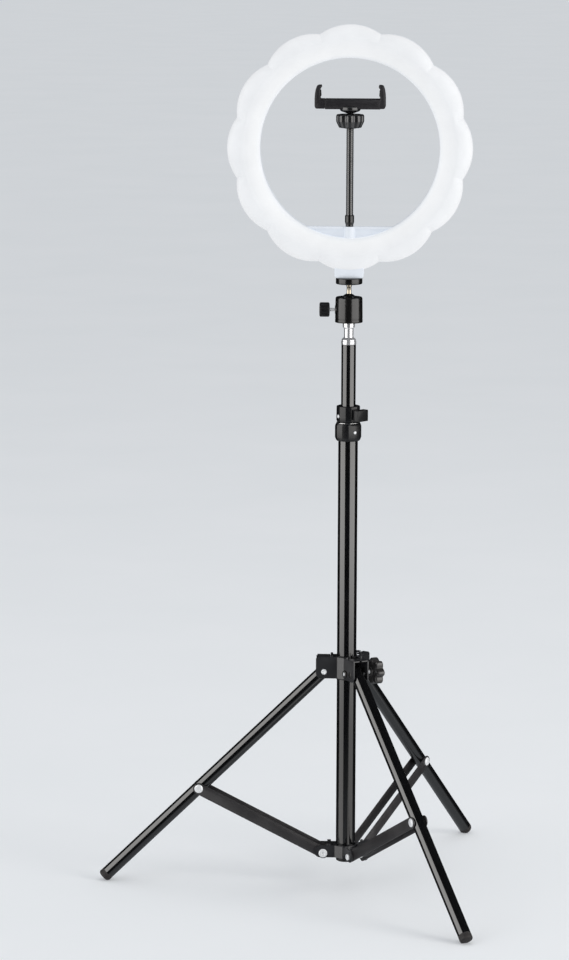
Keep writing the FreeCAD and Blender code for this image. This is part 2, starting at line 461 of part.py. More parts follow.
# ================================================================ legs and braces
# Each is made hanging straight down from (or standing straight up at) its pivot in the plane y=0, then swung out.
LEG_TOP = 8.0
for i, az in enumerate(LEG_AZIMUTHS):
    n = str(i + 1)
    axis = (0, -1, 0)
    at = (PIVOT_R, 0, PIVOT_Z)
    foot_len = 7.0
    leg = rod(LEG_OD / 2, (PIVOT_R, 0, PIVOT_Z + LEG_TOP), (PIVOT_R, 0, PIVOT_Z - LEG_END + foot_len))
    top = Part.makeCylinder(LEG_TOP, 20, V(PIVOT_R, -10, PIVOT_Z), V(0, 1, 0)).fuse(
        box(PIVOT_R - 20, -10, PIVOT_Z - 400, PIVOT_R + 20, 10, PIVOT_Z))
    leg = leg.common(top)
    leg = leg.cut(rod(LEG_OD / 2 - LEG_WALL, (PIVOT_R, 0, PIVOT_Z + 20), (PIVOT_R, 0, PIVOT_Z - 400)))
    leg = leg.cut(rod(2.9, (PIVOT_R, -10, PIVOT_Z), (PIVOT_R, 10, PIVOT_Z)))
    leg = leg.cut(rod(2.9, (PIVOT_R, -10, PIVOT_Z - LEG_A), (PIVOT_R, 10, PIVOT_Z - LEG_A)))
    bush = rod(2.9, (PIVOT_R, -6.95, PIVOT_Z), (PIVOT_R, 6.95, PIVOT_Z)).cut(rod(2.0 + RUN, (PIVOT_R, -10, PIVOT_Z), (PIVOT_R, 10, PIVOT_Z)))
    pin = rod(2.9, (PIVOT_R, -6.95, PIVOT_Z - LEG_A), (PIVOT_R, 6.95, PIVOT_Z - LEG_A))
    zf = PIVOT_Z - LEG_END
    foot = turned([(0, zf), (5.6, zf), (6.7, zf + 0.5), (7.1, zf + 1.5), (7.1, zf + foot_len), (LEG_OD / 2 - LEG_WALL, zf + foot_len),
                   (LEG_OD / 2 - LEG_WALL, zf + foot_len + 12), (0, zf + foot_len + 12)])
    foot.translate(V(PIVOT_R, 0, 0))
    swing = []
    for s in (leg, bush, pin, foot):
        s = spun(s, LEG_ALPHA, at, axis)
        swing.append(s)
    leg, bush, pin, foot = swing
    foot = foot.cut(box(0, -50, -50, 500, 50, FOOT_FLAT_Z))
    out("leg_tube_" + n, spun(leg, az))
    out("leg_bushes_" + n, spun(bush, az), spun(pin, az))
    out("foot_" + n, spun(foot, az))
    # braces
    bz = BASE_Z
    strips = []
    for sgn in (-1, 1):
        n0, n1 = sorted((sgn * STRIP_N, sgn * (STRIP_N + STRIP_T)))
        r = STRIP_W / 2
        s = box(PIVOT_R - r, n0, bz, PIVOT_R + r, n1, bz + BRACE_B)
        s = s.fuse(Part.makeCylinder(r, n1 - n0, V(PIVOT_R, n0, bz), V(0, 1, 0)))
        s = s.fuse(Part.makeCylinder(r, n1 - n0, V(PIVOT_R, n0, bz + BRACE_B), V(0, 1, 0))).removeSplitter()
        s = s.cut(rod(2.0 + RUN, (PIVOT_R, -12, bz), (PIVOT_R, 12, bz)))
        s = s.cut(rod(2.0, (PIVOT_R, -12, bz + BRACE_B), (PIVOT_R, 12, bz + BRACE_B)))
        strips.append(s)
    heads = []
    for sgn in (-1, 1):
        s = rod(2.0, (PIVOT_R, sgn * STRIP_N, bz + BRACE_B), (PIVOT_R, sgn * 9.0, bz + BRACE_B))
        s = s.fuse(rod(4.7, (PIVOT_R, sgn * (STRIP_N + STRIP_T), bz + BRACE_B), (PIVOT_R, sgn * 9.9, bz + BRACE_B)))
        heads.append(s.removeSplitter())
    # swing the brace outwards about its base pin
    bat = (PIVOT_R, 0, bz)
    strips = [spun(spun(s, BRACE_BETA, bat, (0, 1, 0)), az) for s in strips]
    heads = [spun(spun(s, BRACE_BETA, bat, (0, 1, 0)), az) for s in heads]
    out("brace_strips_" + n, *strips)
    out("brace_rivets_" + n, *heads)

# ================================================================ phone holder
ferrule = turned([(0, 711.5), (2.95, 711.5), (2.95, BRIDGE_TOP_Z), (4.1, BRIDGE_TOP_Z), (4.1, 722.0), (4.9, 725.0), (4.9, 731.6),
                  (4.4, GN_Z0), (0, GN_Z0)])
out("arm_ferrule", ferrule)
SEG = (GN_Z1 - GN_Z0) / (NECK_BENDS + 1)
JOINT_Z = [GN_Z0 + SEG * (k + 1) for k in range(NECK_BENDS)]
KN_R = 2.3
GAP = 0.7
for k in range(NECK_BENDS + 1):
    z0, z1 = GN_Z0 + SEG * k, GN_Z0 + SEG * (k + 1)
    lo = z0 if k == 0 else z0 + GAP
    hi = z1 if k == NECK_BENDS else z1 - GAP
    # each end is relieved so that neighbours can lean towards each other
    r0 = GN_R if k == 0 else 2.5
    r1 = GN_R if k == NECK_BENDS else 2.5
    s = turned([(0, lo), (r0, lo), (GN_R, lo + 0.8), (GN_R, hi - 0.8), (r1, hi), (0, hi)])
    if k > 0:
        s = s.cut(sphere(KN_R + 0.05, 0, 0, z0))
    if k < NECK_BENDS:
        s = s.fuse(sphere(KN_R, 0, 0, z1))
    out("gooseneck_link_%d" % (k + 1), s)
# collet with the ball socket, nut round it
collet = turned([(0, GN_Z1), (6.4, GN_Z1), (6.4, 825.6), (8.0, 827.2), (8.0, 836.6), (0, 836.6)])
collet = collet.cut(sphere(SOCKET_R + RUN, 0, 0, SOCKET_Z)).cut(cyl(4.55, 826.2, SOCKET_Z))
out("socket_collet", collet)
seat2 = cyl(4.5, 826.2, 831.0).cut(sphere(SOCKET_R + RUN, 0, 0, SOCKET_Z))
out("socket_seat", seat2)
nut = turned([(8.05, 827.4), (8.05, 825.6), (9.2, 824.5), (11.4, 824.5), (12.2, 826.0), (14.85, 831.0), (14.85, 837.4), (13.6, 838.7), (7.3, 838.7),
              (7.3, 836.9), (8.05, 836.9)])
for k in range(8):
    t = 2 * math.pi * (k + 0.5) / 8
    nut = nut.cut(cyl(3.0, 822.0, 842.0, 16.4 * math.cos(t), 16.4 * math.sin(t)))
out("socket_nut", nut)
stud = fuse(sphere(SOCKET_R, 0, 0, SOCKET_Z), cyl(3.0, SOCKET_Z + 4, 847.3))
out("holder_ball_stud", stud)
# clamp body: bar with a flared foot, hollow for the spring and the sliding jaw's tongue
foot2 = turned([(3.0, 839.9), (4.6, 839.9), (7.0, 840.9), (9.5, 842.0), (10.9, 843.4), (10.9, 846.8), (3.0, 846.8)])
bar = box(-26.6, -CLAMP_Y, CLAMP_Z0, 31.6, CLAMP_Y, CLAMP_Z1)
bar = bar.makeFillet(1.2, [e for e in bar.Edges if e.BoundBox.XLength > 50])
cavity = box(-28.0, -5.04, 847.76, 24.0, 5.04, 852.84)
bar = bar.cut(cavity)
bar = fuse_raw(bar, foot2)
bar = bar.cut(cyl(3.0, 839.0, 847.3))
# fixed jaw on the right
jaw_r = prism([(31.4, -CLAMP_Y, CLAMP_Z0 + 1.0), (37.5, -CLAMP_Y, CLAMP_Z0 + 1.8), (37.5, -CLAMP_Y, 857.0), (35.0, -CLAMP_Y, 868.6),
               (30.2, -CLAMP_Y, 869.4), (30.0, -CLAMP_Y, 867.2), (32.0, -CLAMP_Y, 864.6), (31.4, -CLAMP_Y, 857.0)], (0, 2 * CLAMP_Y, 0))
bar = fuse_raw(bar, jaw_r)
out("clamp_body", bar)
# jaw on the left slides out along the body
jaw_l = prism([(-26.8, -CLAMP_Y, CLAMP_Z0 + 0.4), (-37.5, -CLAMP_Y, CLAMP_Z0 + 1.8), (-37.5, -CLAMP_Y, 857.0), (-35.0, -CLAMP_Y, 868.6),
               (-30.2, -CLAMP_Y, 869.4), (-30.0, -CLAMP_Y, 867.2), (-32.0, -CLAMP_Y, 864.6), (-31.4, -CLAMP_Y, 857.0),
               (-26.8, -CLAMP_Y, 855.0)], (0, 2 * CLAMP_Y, 0))
tongue = box(-30.0, -5.0, 847.8, -26.0 + 34.0, 5.0, 852.8)
tongue = tongue.cut(box(-22.0, -3.0, 846.8, 6.0, 3.0, 853.8))
jaw_l = fuse_raw(jaw_l, tongue)
out("sliding_jaw", jaw_l)
# rubber pads inside both jaws
pad_r = prism([(31.4, -6.5, 857.4), (30.6, -6.5, 858.0), (31.0, -6.5, 864.2), (31.95, -6.5, 864.5)], (0, 13, 0))
pad_l = prism([(-31.4, -6.5, 857.4), (-30.6, -6.5, 858.0), (-31.0, -6.5, 864.2), (-31.95, -6.5, 864.5)], (0, 13, 0))
out("fixed_jaw_pad", pad_r)
out("sliding_jaw_pad", pad_l)
# tension spring inside the tongue's window, between the body's post and the jaw
spring = rod(2.0, (-21.0, 0, 850.3), (4.6, 0, 850.3)).cut(rod(1.3, (-21.5, 0, 850.3), (5.0, 0, 850.3)))
out("jaw_spring", spring)

for name, count, vol in made:
    print("%-24s solids %2d  volume %.1f" % (name, count, vol))
print(len(made), "nodes")
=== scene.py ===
import math
import bpy
import bmesh
import numpy as np
from mathutils import Matrix, Vector


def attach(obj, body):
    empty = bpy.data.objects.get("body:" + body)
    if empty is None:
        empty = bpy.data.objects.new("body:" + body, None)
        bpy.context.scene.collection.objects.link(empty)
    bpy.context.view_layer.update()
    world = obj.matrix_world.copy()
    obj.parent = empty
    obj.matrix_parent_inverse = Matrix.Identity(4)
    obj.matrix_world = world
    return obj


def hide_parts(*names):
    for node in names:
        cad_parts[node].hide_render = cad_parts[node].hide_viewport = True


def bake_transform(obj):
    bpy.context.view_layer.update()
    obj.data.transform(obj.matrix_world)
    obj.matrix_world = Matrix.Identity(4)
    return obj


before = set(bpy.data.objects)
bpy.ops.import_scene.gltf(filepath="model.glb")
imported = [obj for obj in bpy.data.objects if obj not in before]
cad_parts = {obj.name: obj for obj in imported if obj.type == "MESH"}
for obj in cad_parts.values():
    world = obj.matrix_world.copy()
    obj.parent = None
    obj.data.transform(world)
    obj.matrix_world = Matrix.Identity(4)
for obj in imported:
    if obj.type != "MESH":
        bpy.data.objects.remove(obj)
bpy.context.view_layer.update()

MM = 0.001
scene = bpy.context.scene
scene.view_settings.view_transform = "Standard"
scene.view_settings.look = "None"

# ------------------------------------------------------------------ sizes, millimetres, as in the CAD design
RING_Z = 803.0
LOBES = 12
LOBE_R = 54.0
PEAK_R = 130.0
HOLE_R = 95.0
LEG_AZ = {1: 180.0, 2: 300.0, 3: 60.0}
PIVOT_R, PIVOT_Z, BASE_Z = 24.2, 238.3, 36.0
LEG_A, LEG_ALPHA, LEG_END = 190.0, 45.77, 336.9
BRACE_B, BRACE_BETA = 152.96, 62.85
UKZ, LKZ = 519.1, 500.1
BOLT_Z = 237.5
UK_AZ, LK_AZ = -40.0, 100.0
KNOB_Z = 631.4
BALL_Z = 640.0
SOCKET_Z = 834.0
GN_Z0, GN_Z1 = 732.4, 824.0


# ------------------------------------------------------------------ materials
def material(name):
    m = bpy.data.materials.new(name)
    m.use_nodes = True
    nt = m.node_tree
    bsdf = next(n for n in nt.nodes if n.type == "BSDF_PRINCIPLED")
    return m, nt, bsdf


def node(nt, kind, **values):
    n = nt.nodes.new(kind)
    for k, v in values.items():
        if k in n.inputs:
            n.inputs[k].default_value = v
        else:
            setattr(n, k, v)
    return n


def coords(nt, scale=(1, 1, 1), rot=(0, 0, 0)):
    tc = nt.nodes.new("ShaderNodeTexCoord")
    mp = nt.nodes.new("ShaderNodeMapping")
    mp.inputs["Scale"].default_value = scale
    mp.inputs["Rotation"].default_value = rot
    nt.links.new(tc.outputs["Object"], mp.inputs["Vector"])
    return mp.outputs["Vector"]


def noise(nt, vec, scale, detail=4.0, rough=0.55):
    n = nt.nodes.new("ShaderNodeTexNoise")
    n.inputs["Scale"].default_value = scale
    n.inputs["Detail"].default_value = detail
    n.inputs["Roughness"].default_value = rough
    nt.links.new(vec, n.inputs["Vector"])
    return n


def ramp(nt, fac, stops):
    r = nt.nodes.new("ShaderNodeValToRGB")
    e = r.color_ramp.elements
    while len(e) < len(stops):
        e.new(0.5)
    for el, (p, c) in zip(e, stops):
        el.position = p
        el.color = (*c, 1.0) if len(c) == 3 else c
    nt.links.new(fac, r.inputs["Fac"])
    return r.outputs["Color"]


def maprange(nt, fac, lo, hi, a=0.0, b=1.0):
    n = nt.nodes.new("ShaderNodeMapRange")
    n.inputs["From Min"].default_value = a
    n.inputs["From Max"].default_value = b
    n.inputs["To Min"].default_value = lo
    n.inputs["To Max"].default_value = hi
    nt.links.new(fac, n.inputs["Value"])
    return n.outputs["Result"]


def bump(nt, bsdf, height, strength, distance, chain=None):
    b = nt.nodes.new("ShaderNodeBump")
    b.inputs["Strength"].default_value = strength
    b.inputs["Distance"].default_value = distance
    nt.links.new(height, b.inputs["Height"])
    if chain is not None:
        nt.links.new(chain, b.inputs["Normal"])
    nt.links.new(b.outputs["Normal"], bsdf.inputs["Normal"])
    return b.outputs["Normal"]


def coat(name, dark, light, rough, rough_var, grain_scale, grain, metallic=0.0, clear=0.0, clear_rough=0.05,
         ior=None, spec=0.5):
    """Painted, moulded or plated surface with slightly uneven colour and roughness, and a fine grain."""
    m, nt, b = material(name)
    v = coords(nt)
    big = noise(nt, v, 38.0, 3.0)
    fine = noise(nt, v, grain_scale, 5.0, 0.6)
    col = ramp(nt, big.outputs["Fac"], [(0.3, dark), (0.72, light)])
    nt.links.new(col, b.inputs["Base Color"])
    r = maprange(nt, big.outputs["Fac"], rough - rough_var, rough + rough_var, 0.3, 0.7)
    nt.links.new(r, b.inputs["Roughness"])
    b.inputs["Metallic"].default_value = metallic
    b.inputs["Specular IOR Level"].default_value = spec
    if ior:
        b.inputs["IOR"].default_value = ior
    b.inputs["Coat Weight"].default_value = clear
    b.inputs["Coat Roughness"].default_value = clear_rough
    if grain:
        bump(nt, b, fine.outputs["Fac"], grain, 0.0004)
    return m


def lathe_marks(m, spacing, strength, axis="Z"):
    """Fine turning marks round an axis."""
    nt = m.node_tree
    b = next(n for n in nt.nodes if n.type == "BSDF_PRINCIPLED")
    w = nt.nodes.new("ShaderNodeTexWave")
    w.wave_type = "BANDS"
    w.bands_direction = axis
    w.inputs["Scale"].default_value = 1.0 / spacing
    w.inputs["Distortion"].default_value = 1.5
    w.inputs["Detail"].default_value = 3.0
    nt.links.new(coords(nt), w.inputs["Vector"])
    old = b.inputs["Normal"].links[0].from_socket if b.inputs["Normal"].links else None
    bump(nt, b, w.outputs["Fac"], strength, 0.0002, old)
    return m


M = {}
M["tube"] = coat("gloss_black_lacquer", (0.0030, 0.0030, 0.0034), (0.0050, 0.0050, 0.0056), 0.10, 0.012, 900.0, 0.0, ior=1.9)
M["bracket"] = coat("satin_powder_coat", (0.018, 0.018, 0.020), (0.028, 0.028, 0.031), 0.30, 0.03, 2600.0, 0.03, ior=1.75)
M["strip"] = coat("satin_powder_coat_strip", (0.028, 0.026, 0.027), (0.044, 0.041, 0.042), 0.36, 0.04, 2600.0, 0.03, spec=0.5)
M["alloy"] = coat("anodised_black_alloy", (0.0045, 0.0042, 0.0040), (0.0075, 0.0070, 0.0066), 0.20, 0.02, 3000.0, 0.0, ior=1.6)
M["knob"] = coat("moulded_black_plastic", (0.008, 0.008, 0.009), (0.014, 0.014, 0.015), 0.34, 0.04, 3800.0, 0.04, spec=0.30)
M["nut"] = coat("moulded_black_gloss", (0.007, 0.007, 0.008), (0.012, 0.012, 0.013), 0.20, 0.03, 3000.0, 0.0, ior=1.75)
M["collar"] = coat("collar_black_plastic", (0.006, 0.006, 0.007), (0.011, 0.011, 0.012), 0.22, 0.03, 3200.0, 0.02, spec=0.45)
M["clamp"] = coat("clamp_spark_texture", (0.014, 0.013, 0.015), (0.022, 0.020, 0.023), 0.42, 0.04, 5200.0, 0.08, spec=0.35)
M["chrome"] = coat("bright_zinc_rivet", (0.90, 0.90, 0.90), (0.96, 0.96, 0.96), 0.25, 0.04, 1500.0, 0.0, metallic=0.12)
M["spigot"] = coat("polished_chrome", (0.70, 0.70, 0.71), (0.80, 0.80, 0.81), 0.14, 0.02, 1200.0, 0.0, metallic=0.62)
lathe_marks(M["spigot"], 0.0009, 0.02)
M["bright"] = coat("bright_steel", (0.80, 0.80, 0.80), (0.88, 0.88, 0.88), 0.10, 0.02, 1500.0, 0.0, metallic=1.0)
M["star"] = coat("star_knob_plastic", (0.026, 0.024, 0.024), (0.038, 0.035, 0.035), 0.30, 0.03, 3200.0, 0.02, ior=1.7)
M["zinc"] = coat("zinc_plate", (0.42, 0.42, 0.43), (0.60, 0.60, 0.60), 0.30, 0.06, 1800.0, 0.03, metallic=1.0)
M["stem"] = coat("warm_steel", (0.50, 0.44, 0.34), (0.66, 0.60, 0.50), 0.22, 0.04, 1500.0, 0.0, metallic=1.0)
M["brass"] = coat("brass", (0.60, 0.42, 0.16), (0.78, 0.58, 0.26), 0.25, 0.05, 1500.0, 0.03, metallic=1.0)
M["gooseneck"] = coat("gooseneck_black_steel", (0.004, 0.004, 0.0045), (0.008, 0.008, 0.0085), 0.14, 0.02, 1200.0, 0.0, ior=2.0)
M["rubber"] = coat("foot_rubber", (0.026, 0.023, 0.022), (0.038, 0.034, 0.033), 0.55, 0.06, 1500.0, 0.08, spec=0.3)
M["pad"] = coat("jaw_rubber", (0.014, 0.014, 0.014), (0.024, 0.024, 0.024), 0.70, 0.05, 2400.0, 0.10, spec=0.25)
M["nylon_black"] = coat("nylon_black", (0.010, 0.010, 0.011), (0.018, 0.018, 0.019), 0.42, 0.05, 1600.0, 0.05, spec=0.3)
M["nylon"] = coat("nylon_natural", (0.70, 0.69, 0.64), (0.80, 0.79, 0.75), 0.42, 0.06, 1200.0, 0.05)
M["pcb"] = coat("solder_mask_white", (0.72, 0.73, 0.72), (0.80, 0.81, 0.80), 0.35, 0.05, 900.0, 0.03)
M["shell"] = coat("white_moulded_shell", (0.44, 0.455, 0.48), (0.49, 0.505, 0.53), 0.40, 0.04, 2600.0, 0.02, spec=0.3)
M["socket"] = coat("inlet_black", (0.010, 0.010, 0.011), (0.018, 0.018, 0.019), 0.30, 0.04, 2500.0, 0.03)

# painted light: every white shell part, screw pillars, neck block and tray included, gets a faint even emission that
# brightens it though it is no lamp
_b = next(n for n in M["shell"].node_tree.nodes if n.type == "BSDF_PRINCIPLED")
_b.inputs["Emission Color"].default_value = (0.86, 0.92, 1.0, 1)
_b.inputs["Emission Strength"].default_value = 0.40
_b.inputs["Subsurface Weight"].default_value = 0.0


def opal():
    """Opal plastic lit from behind, with painted highlight and shade in its emission by radius: brightest on the inner
    slope near the hole as a painted highlight, a shade darker along the crease and the rim as painted shade.
    """
    m, nt, b = material("opal_lit_diffuser")
    v = coords(nt)
    sep = nt.nodes.new("ShaderNodeSeparateXYZ")
    nt.links.new(v, sep.inputs[0])
    dz = node(nt, "ShaderNodeMath", operation="SUBTRACT")
    nt.links.new(sep.outputs["Z"], dz.inputs[0])
    dz.inputs[1].default_value = RING_Z * MM
    comb = nt.nodes.new("ShaderNodeCombineXYZ")
    nt.links.new(sep.outputs["X"], comb.inputs[0])
    nt.links.new(dz.outputs[0], comb.inputs[1])
    ln = node(nt, "ShaderNodeVectorMath", operation="LENGTH")
    nt.links.new(comb.outputs[0], ln.inputs[0])
    fac = maprange(nt, ln.outputs["Value"], 0.0, 1.0, 0.095, 0.131)
    # painted highlight and shade: emission colour by radius, brightest near the hole, darkest along the ridge crease, a
    # little darker at the rim
    emission_painted_shading = ramp(nt, fac, [(0.0, (0.92, 0.95, 0.99)), (0.12, (0.99, 0.995, 1.0)), (0.30, (0.96, 0.965, 0.975)), (0.52, (0.91, 0.92, 0.94)),
                          (0.70, (0.92, 0.93, 0.95)), (0.92, (0.95, 0.955, 0.97)), (1.0, (0.93, 0.94, 0.96))])
    cloud = noise(nt, v, 16.0, 2.0)
    soft = maprange(nt, cloud.outputs["Fac"], 0.965, 1.03, 0.3, 0.7)
    mul = node(nt, "ShaderNodeVectorMath", operation="SCALE")
    nt.links.new(emission_painted_shading, mul.inputs[0])
    nt.links.new(soft, mul.inputs["Scale"])
    nt.links.new(mul.outputs[0], b.inputs["Emission Color"])
    b.inputs["Emission Strength"].default_value = 0.545
    base = noise(nt, v, 60.0, 3.0)
    nt.links.new(ramp(nt, base.outputs["Fac"], [(0.3, (0.38, 0.385, 0.39)), (0.7, (0.41, 0.415, 0.42))]), b.inputs["Base Color"])
    fine = noise(nt, v, 2200.0, 3.0)
    bump(nt, b, fine.outputs["Fac"], 0.015, 0.0003)
    b.inputs["Roughness"].default_value = 0.45
    b.inputs["Specular IOR Level"].default_value = 0.25
    return m


M["opal"] = opal()


# ------------------------------------------------------------------ mesh helpers (millimetres in, metres out)
def add(name, verts, faces, mat, body, slot, replaces=(), smooth=35.0, bevel=0.0, seg=2, bevel_angle=32.0):
    me = bpy.data.meshes.new(name)
    v = np.asarray(verts, float) * MM
    me.from_pydata([tuple(p) for p in v], [], [tuple(f) for f in faces])
    me.update()
    bm = bmesh.new()
    bm.from_mesh(me)
    bmesh.ops.remove_doubles(bm, verts=bm.verts, dist=1e-7)
    bmesh.ops.recalc_face_normals(bm, faces=bm.faces)
    bm.to_mesh(me)
    bm.free()
    return place(name, me, mat, body, replaces, smooth, bevel, seg, bevel_angle)


def place(name, me, mat, body, replaces=(), smooth=35.0, bevel=0.0, seg=2, bevel_angle=32.0):
    ob = bpy.data.objects.new(name, me)
    scene.collection.objects.link(ob)
    me.materials.clear()
    me.materials.append(mat)
    for p in me.polygons:
        p.use_smooth = True
    if bevel:
        md = ob.modifiers.new("edges", "BEVEL")
        md.width = bevel * MM
        md.segments = seg
        md.limit_method = "ANGLE"
        md.angle_limit = math.radians(bevel_angle)
        md.harden_normals = False
        md.miter_outer = "MITER_ARC"
        dg = bpy.context.evaluated_depsgraph_get()
        final = bpy.data.meshes.new_from_object(ob.evaluated_get(dg))
        ob.modifiers.clear()
        ob.data = final
        me = final
        for p in me.polygons:
            p.use_smooth = True
    me.set_sharp_from_angle(angle=math.radians(smooth))
    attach(ob, body)
    if replaces:
        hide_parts(*replaces)
    return ob


def bend_corners(pts, radii, seg=5, closed=True):
    """Rounds the corners of a 2-D outline; radii is one number or one per corner."""
    pts = [np.array(p, float) for p in pts]
    n = len(pts)
    if not hasattr(radii, "__len__"):
        radii = [radii] * n
    out = []
    for i, p in enumerate(pts):
        r = radii[i]
        if not closed and i in (0, n - 1) or r <= 0:
            out.append(p)
            continue
        a, c = pts[i - 1], pts[(i + 1) % n]
        u, w = a - p, c - p
        lu, lw = np.linalg.norm(u), np.linalg.norm(w)
        u, w = u / lu, w / lw
        cosang = float(np.clip(u @ w, -1, 1))
        ang = math.acos(cosang)
        if ang > math.pi - 1e-3 or ang < 1e-3:
            out.append(p)
            continue
        d = min(r / math.tan(ang / 2), 0.48 * lu, 0.48 * lw)
        rr = d * math.tan(ang / 2)
        centre = p + (u + w) / np.linalg.norm(u + w) * (rr / math.sin(ang / 2))
        s, e = p + u * d - centre, p + w * d - centre
        sweep = math.pi - ang
        cross = s[0] * e[1] - s[1] * e[0]
        sgn = 1.0 if cross > 0 else -1.0
        for k in range(seg + 1):
            t = sgn * sweep * k / seg
            ct, st = math.cos(t), math.sin(t)
            out.append(centre + np.array([s[0] * ct - s[1] * st, s[0] * st + s[1] * ct]))
    return out


def grid_faces(rows, cols, close_rows=False, close_cols=True):
    f = []
    for i in range(rows if close_rows else rows - 1):
        for j in range(cols if close_cols else cols - 1):
            a, b = i * cols + j, i * cols + (j + 1) % cols
            c, d = ((i + 1) % rows) * cols + (j + 1) % cols, ((i + 1) % rows) * cols + j
            f.append((a, b, c, d))
    return f


def frame_of(origin, axis, ref=None):
    a = np.array(axis, float)
    a /= np.linalg.norm(a)
    ref = np.array(ref if ref is not None else ((0, 0, 1) if abs(a[2]) < 0.9 else (1, 0, 0)), float)
    u = ref - a * (ref @ a)
    u /= np.linalg.norm(u)
    return np.array(origin, float), u, np.cross(a, u), a


def turn(profile, n=72, origin=(0, 0, 0), axis=(0, 0, 1), ref=None, closed=True, wob=None):
    """Surface of revolution from (radius, height) points. A closed profile makes a ring; an open one starts and ends on
    the axis or is capped. wob(theta, r, h) may change the radius."""
    o, u, w, a = frame_of(origin, axis, ref)
    verts, faces = [], []
    rows = []
    for r, h in profile:
        row = []
        for j in range(n):
            t = 2 * math.pi * j / n
            rr = wob(t, r, h) if wob else r
            row.append(len(verts))
            verts.append(o + (u * math.cos(t) + w * math.sin(t)) * rr + a * h)
        rows.append(row)
    m = len(rows)
    for i in range(m if closed else m - 1):
        r0, r1 = rows[i], rows[(i + 1) % m]
        for j in range(n):
            k = (j + 1) % n
            faces.append((r0[j], r0[k], r1[k], r1[j]))
    if not closed:
        faces.append(tuple(reversed(rows[0])))
        faces.append(tuple(rows[-1]))
    return np.array(verts), faces


def solid_turn(corners, radii=0.4, seg=4, **k):
    """Closed solid of revolution whose first and last corners are on the axis."""
    p = bend_corners(corners, radii, seg, closed=False)
    p = [(max(r, 0.02), h) for r, h in p]
    return turn(p, closed=False, **k)


def prism(outline, z0, z1, M4=None):
    """Closed prism from a 2-D outline in the local xy plane."""
    n = len(outline)
    v = [(p[0], p[1], z0) for p in outline] + [(p[0], p[1], z1) for p in outline]
    f = [(i, (i + 1) % n, n + (i + 1) % n, n + i) for i in range(n)]
    f.append(tuple(reversed(range(n))))
    f.append(tuple(range(n, 2 * n)))
    v = np.array(v, float)
    if M4 is not None:
        v = v @ M4[:3, :3].T + M4[:3, 3]
    return v, f


def merge(*parts):
    verts, faces, k = [], [], 0
    for v, f in parts:
        verts.append(np.asarray(v, float))
        faces += [tuple(i + k for i in q) for q in f]
        k += len(v)
    return np.vstack(verts), faces


def rotated(v, origin, axis, deg):
    a = np.array(axis, float)
    a /= np.linalg.norm(a)
    t = math.radians(deg)
    o = np.array(origin, float)
    p = np.asarray(v, float) - o
    return o + p * math.cos(t) + np.cross(a, p) * math.sin(t) + np.outer(p @ a, a) * (1 - math.cos(t))


def spin(v, az):
    return rotated(v, (0, 0, 0), (0, 0, 1), az)


def radial(az, rho, n, z):
    a = math.radians(az)
    return np.array([rho * math.cos(a) - n * math.sin(a), rho * math.sin(a) + n * math.cos(a), z])


def ring_tube(ro, ri, z0, z1, lip=0.25, n=96):
    """Thin-walled tube with rolled ends."""
    mids = [z0 + (z1 - z0) * k / 8 for k in range(1, 8)]
    outer = bend_corners([(ri, z0), (ro, z0), (ro, z1), (ri, z1)], lip, 3)
    return turn(outer, n=n)


# ------------------------------------------------------------------ lamp: opal front
def outline(theta):
    """Radius of the scalloped outline; theta is measured in the XZ plane from +X."""
    step = 2 * math.pi / LOBES
    a = (theta - math.pi / 2 + step / 2) % step - step / 2
    c = PEAK_R - LOBE_R
    return c * math.cos(a) + math.sqrt(max(LOBE_R ** 2 - (c * math.sin(a)) ** 2, 0.0))


def thetas(per_lobe):
    step = 2 * math.pi / LOBES
    out = []
    for k in range(LOBES):
        start = math.pi / 2 + (k - 0.5) * step
        for j in range(per_lobe):
            s = j / per_lobe
            s = s - 0.09 * math.sin(2 * math.pi * s)          # more rows near each notch
            out.append(start + s * step)
    return out


TH = thetas(40)
RIDGE = 113.4


def lobed_loft(sections):
    """sections: list of functions theta -> (radius, y); consecutive sections are joined and the list is closed."""
    rows = []
    for f in sections:
        row = []
        for t in TH:
            r, y = f(t)
            row.append((r * math.cos(t), y, RING_Z + r * math.sin(t)))
        rows.append(row)
    verts = [p for row in rows for p in row]
    return np.array(verts), grid_faces(len(rows), len(TH), close_rows=True)


def dome_sections(inset, y_split):
    """Front surface from the hole's edge over the ridge to the scalloped rim."""
    secs = []
    hr = HOLE_R + inset
    inner = [(hr, y_split), (hr, -7.4 + inset * 0.6)]
    inner += [(hr + 0.45, -8.7 + inset), (hr + 1.5, -9.75 + inset), (hr + 3.0, -10.45 + inset)]
    for k in range(1, 9):
        s = k / 8
        r = hr + 3.0 + (RIDGE - 1.6 - hr - 3.0) * s
        y = -10.45 - 3.1 * math.sin(s * math.pi / 2 * 0.92) + inset
        inner.append((r, y))
    inner.append((RIDGE, -13.92 + inset))
    for r, y in inner:
        secs.append(lambda t, r=r, y=y: (r, y))
    steps = 16
    for k in range(1, steps + 1):
        phi = (k / steps) * math.pi / 2
        u = math.sin(phi) ** 1.08
        h = math.cos(phi) ** 0.86

        def f(t, u=u, h=h):
            R = outline(t) - inset
            r = RIDGE + (R - RIDGE) * u
            y = y_split - 1.6 + (-13.92 + inset - y_split + 1.6) * h
            # each lobe is a little fuller along its own middle
            step = 2 * math.pi / LOBES
            a = (t - math.pi / 2 + step / 2) % step - step / 2
            notch = abs(a) / (step / 2)
            dip = 1.5 * (notch ** 6) * math.sin(math.pi * min(1.0, u ** 1.5)) * (1 if inset == 0 else 0.4)
            return r, y + dip
        secs.append(f)
    secs.append(lambda t: (outline(t) - inset, y_split))
    return secs


outer_secs = dome_sections(0.0, -2.0)
inner_secs = dome_sections(2.0, -2.0)
add("diffuser", *lobed_loft(outer_secs + inner_secs[::-1]), M["opal"], "lamp", "opal_diffuser", ("front_diffuser",), smooth=38)


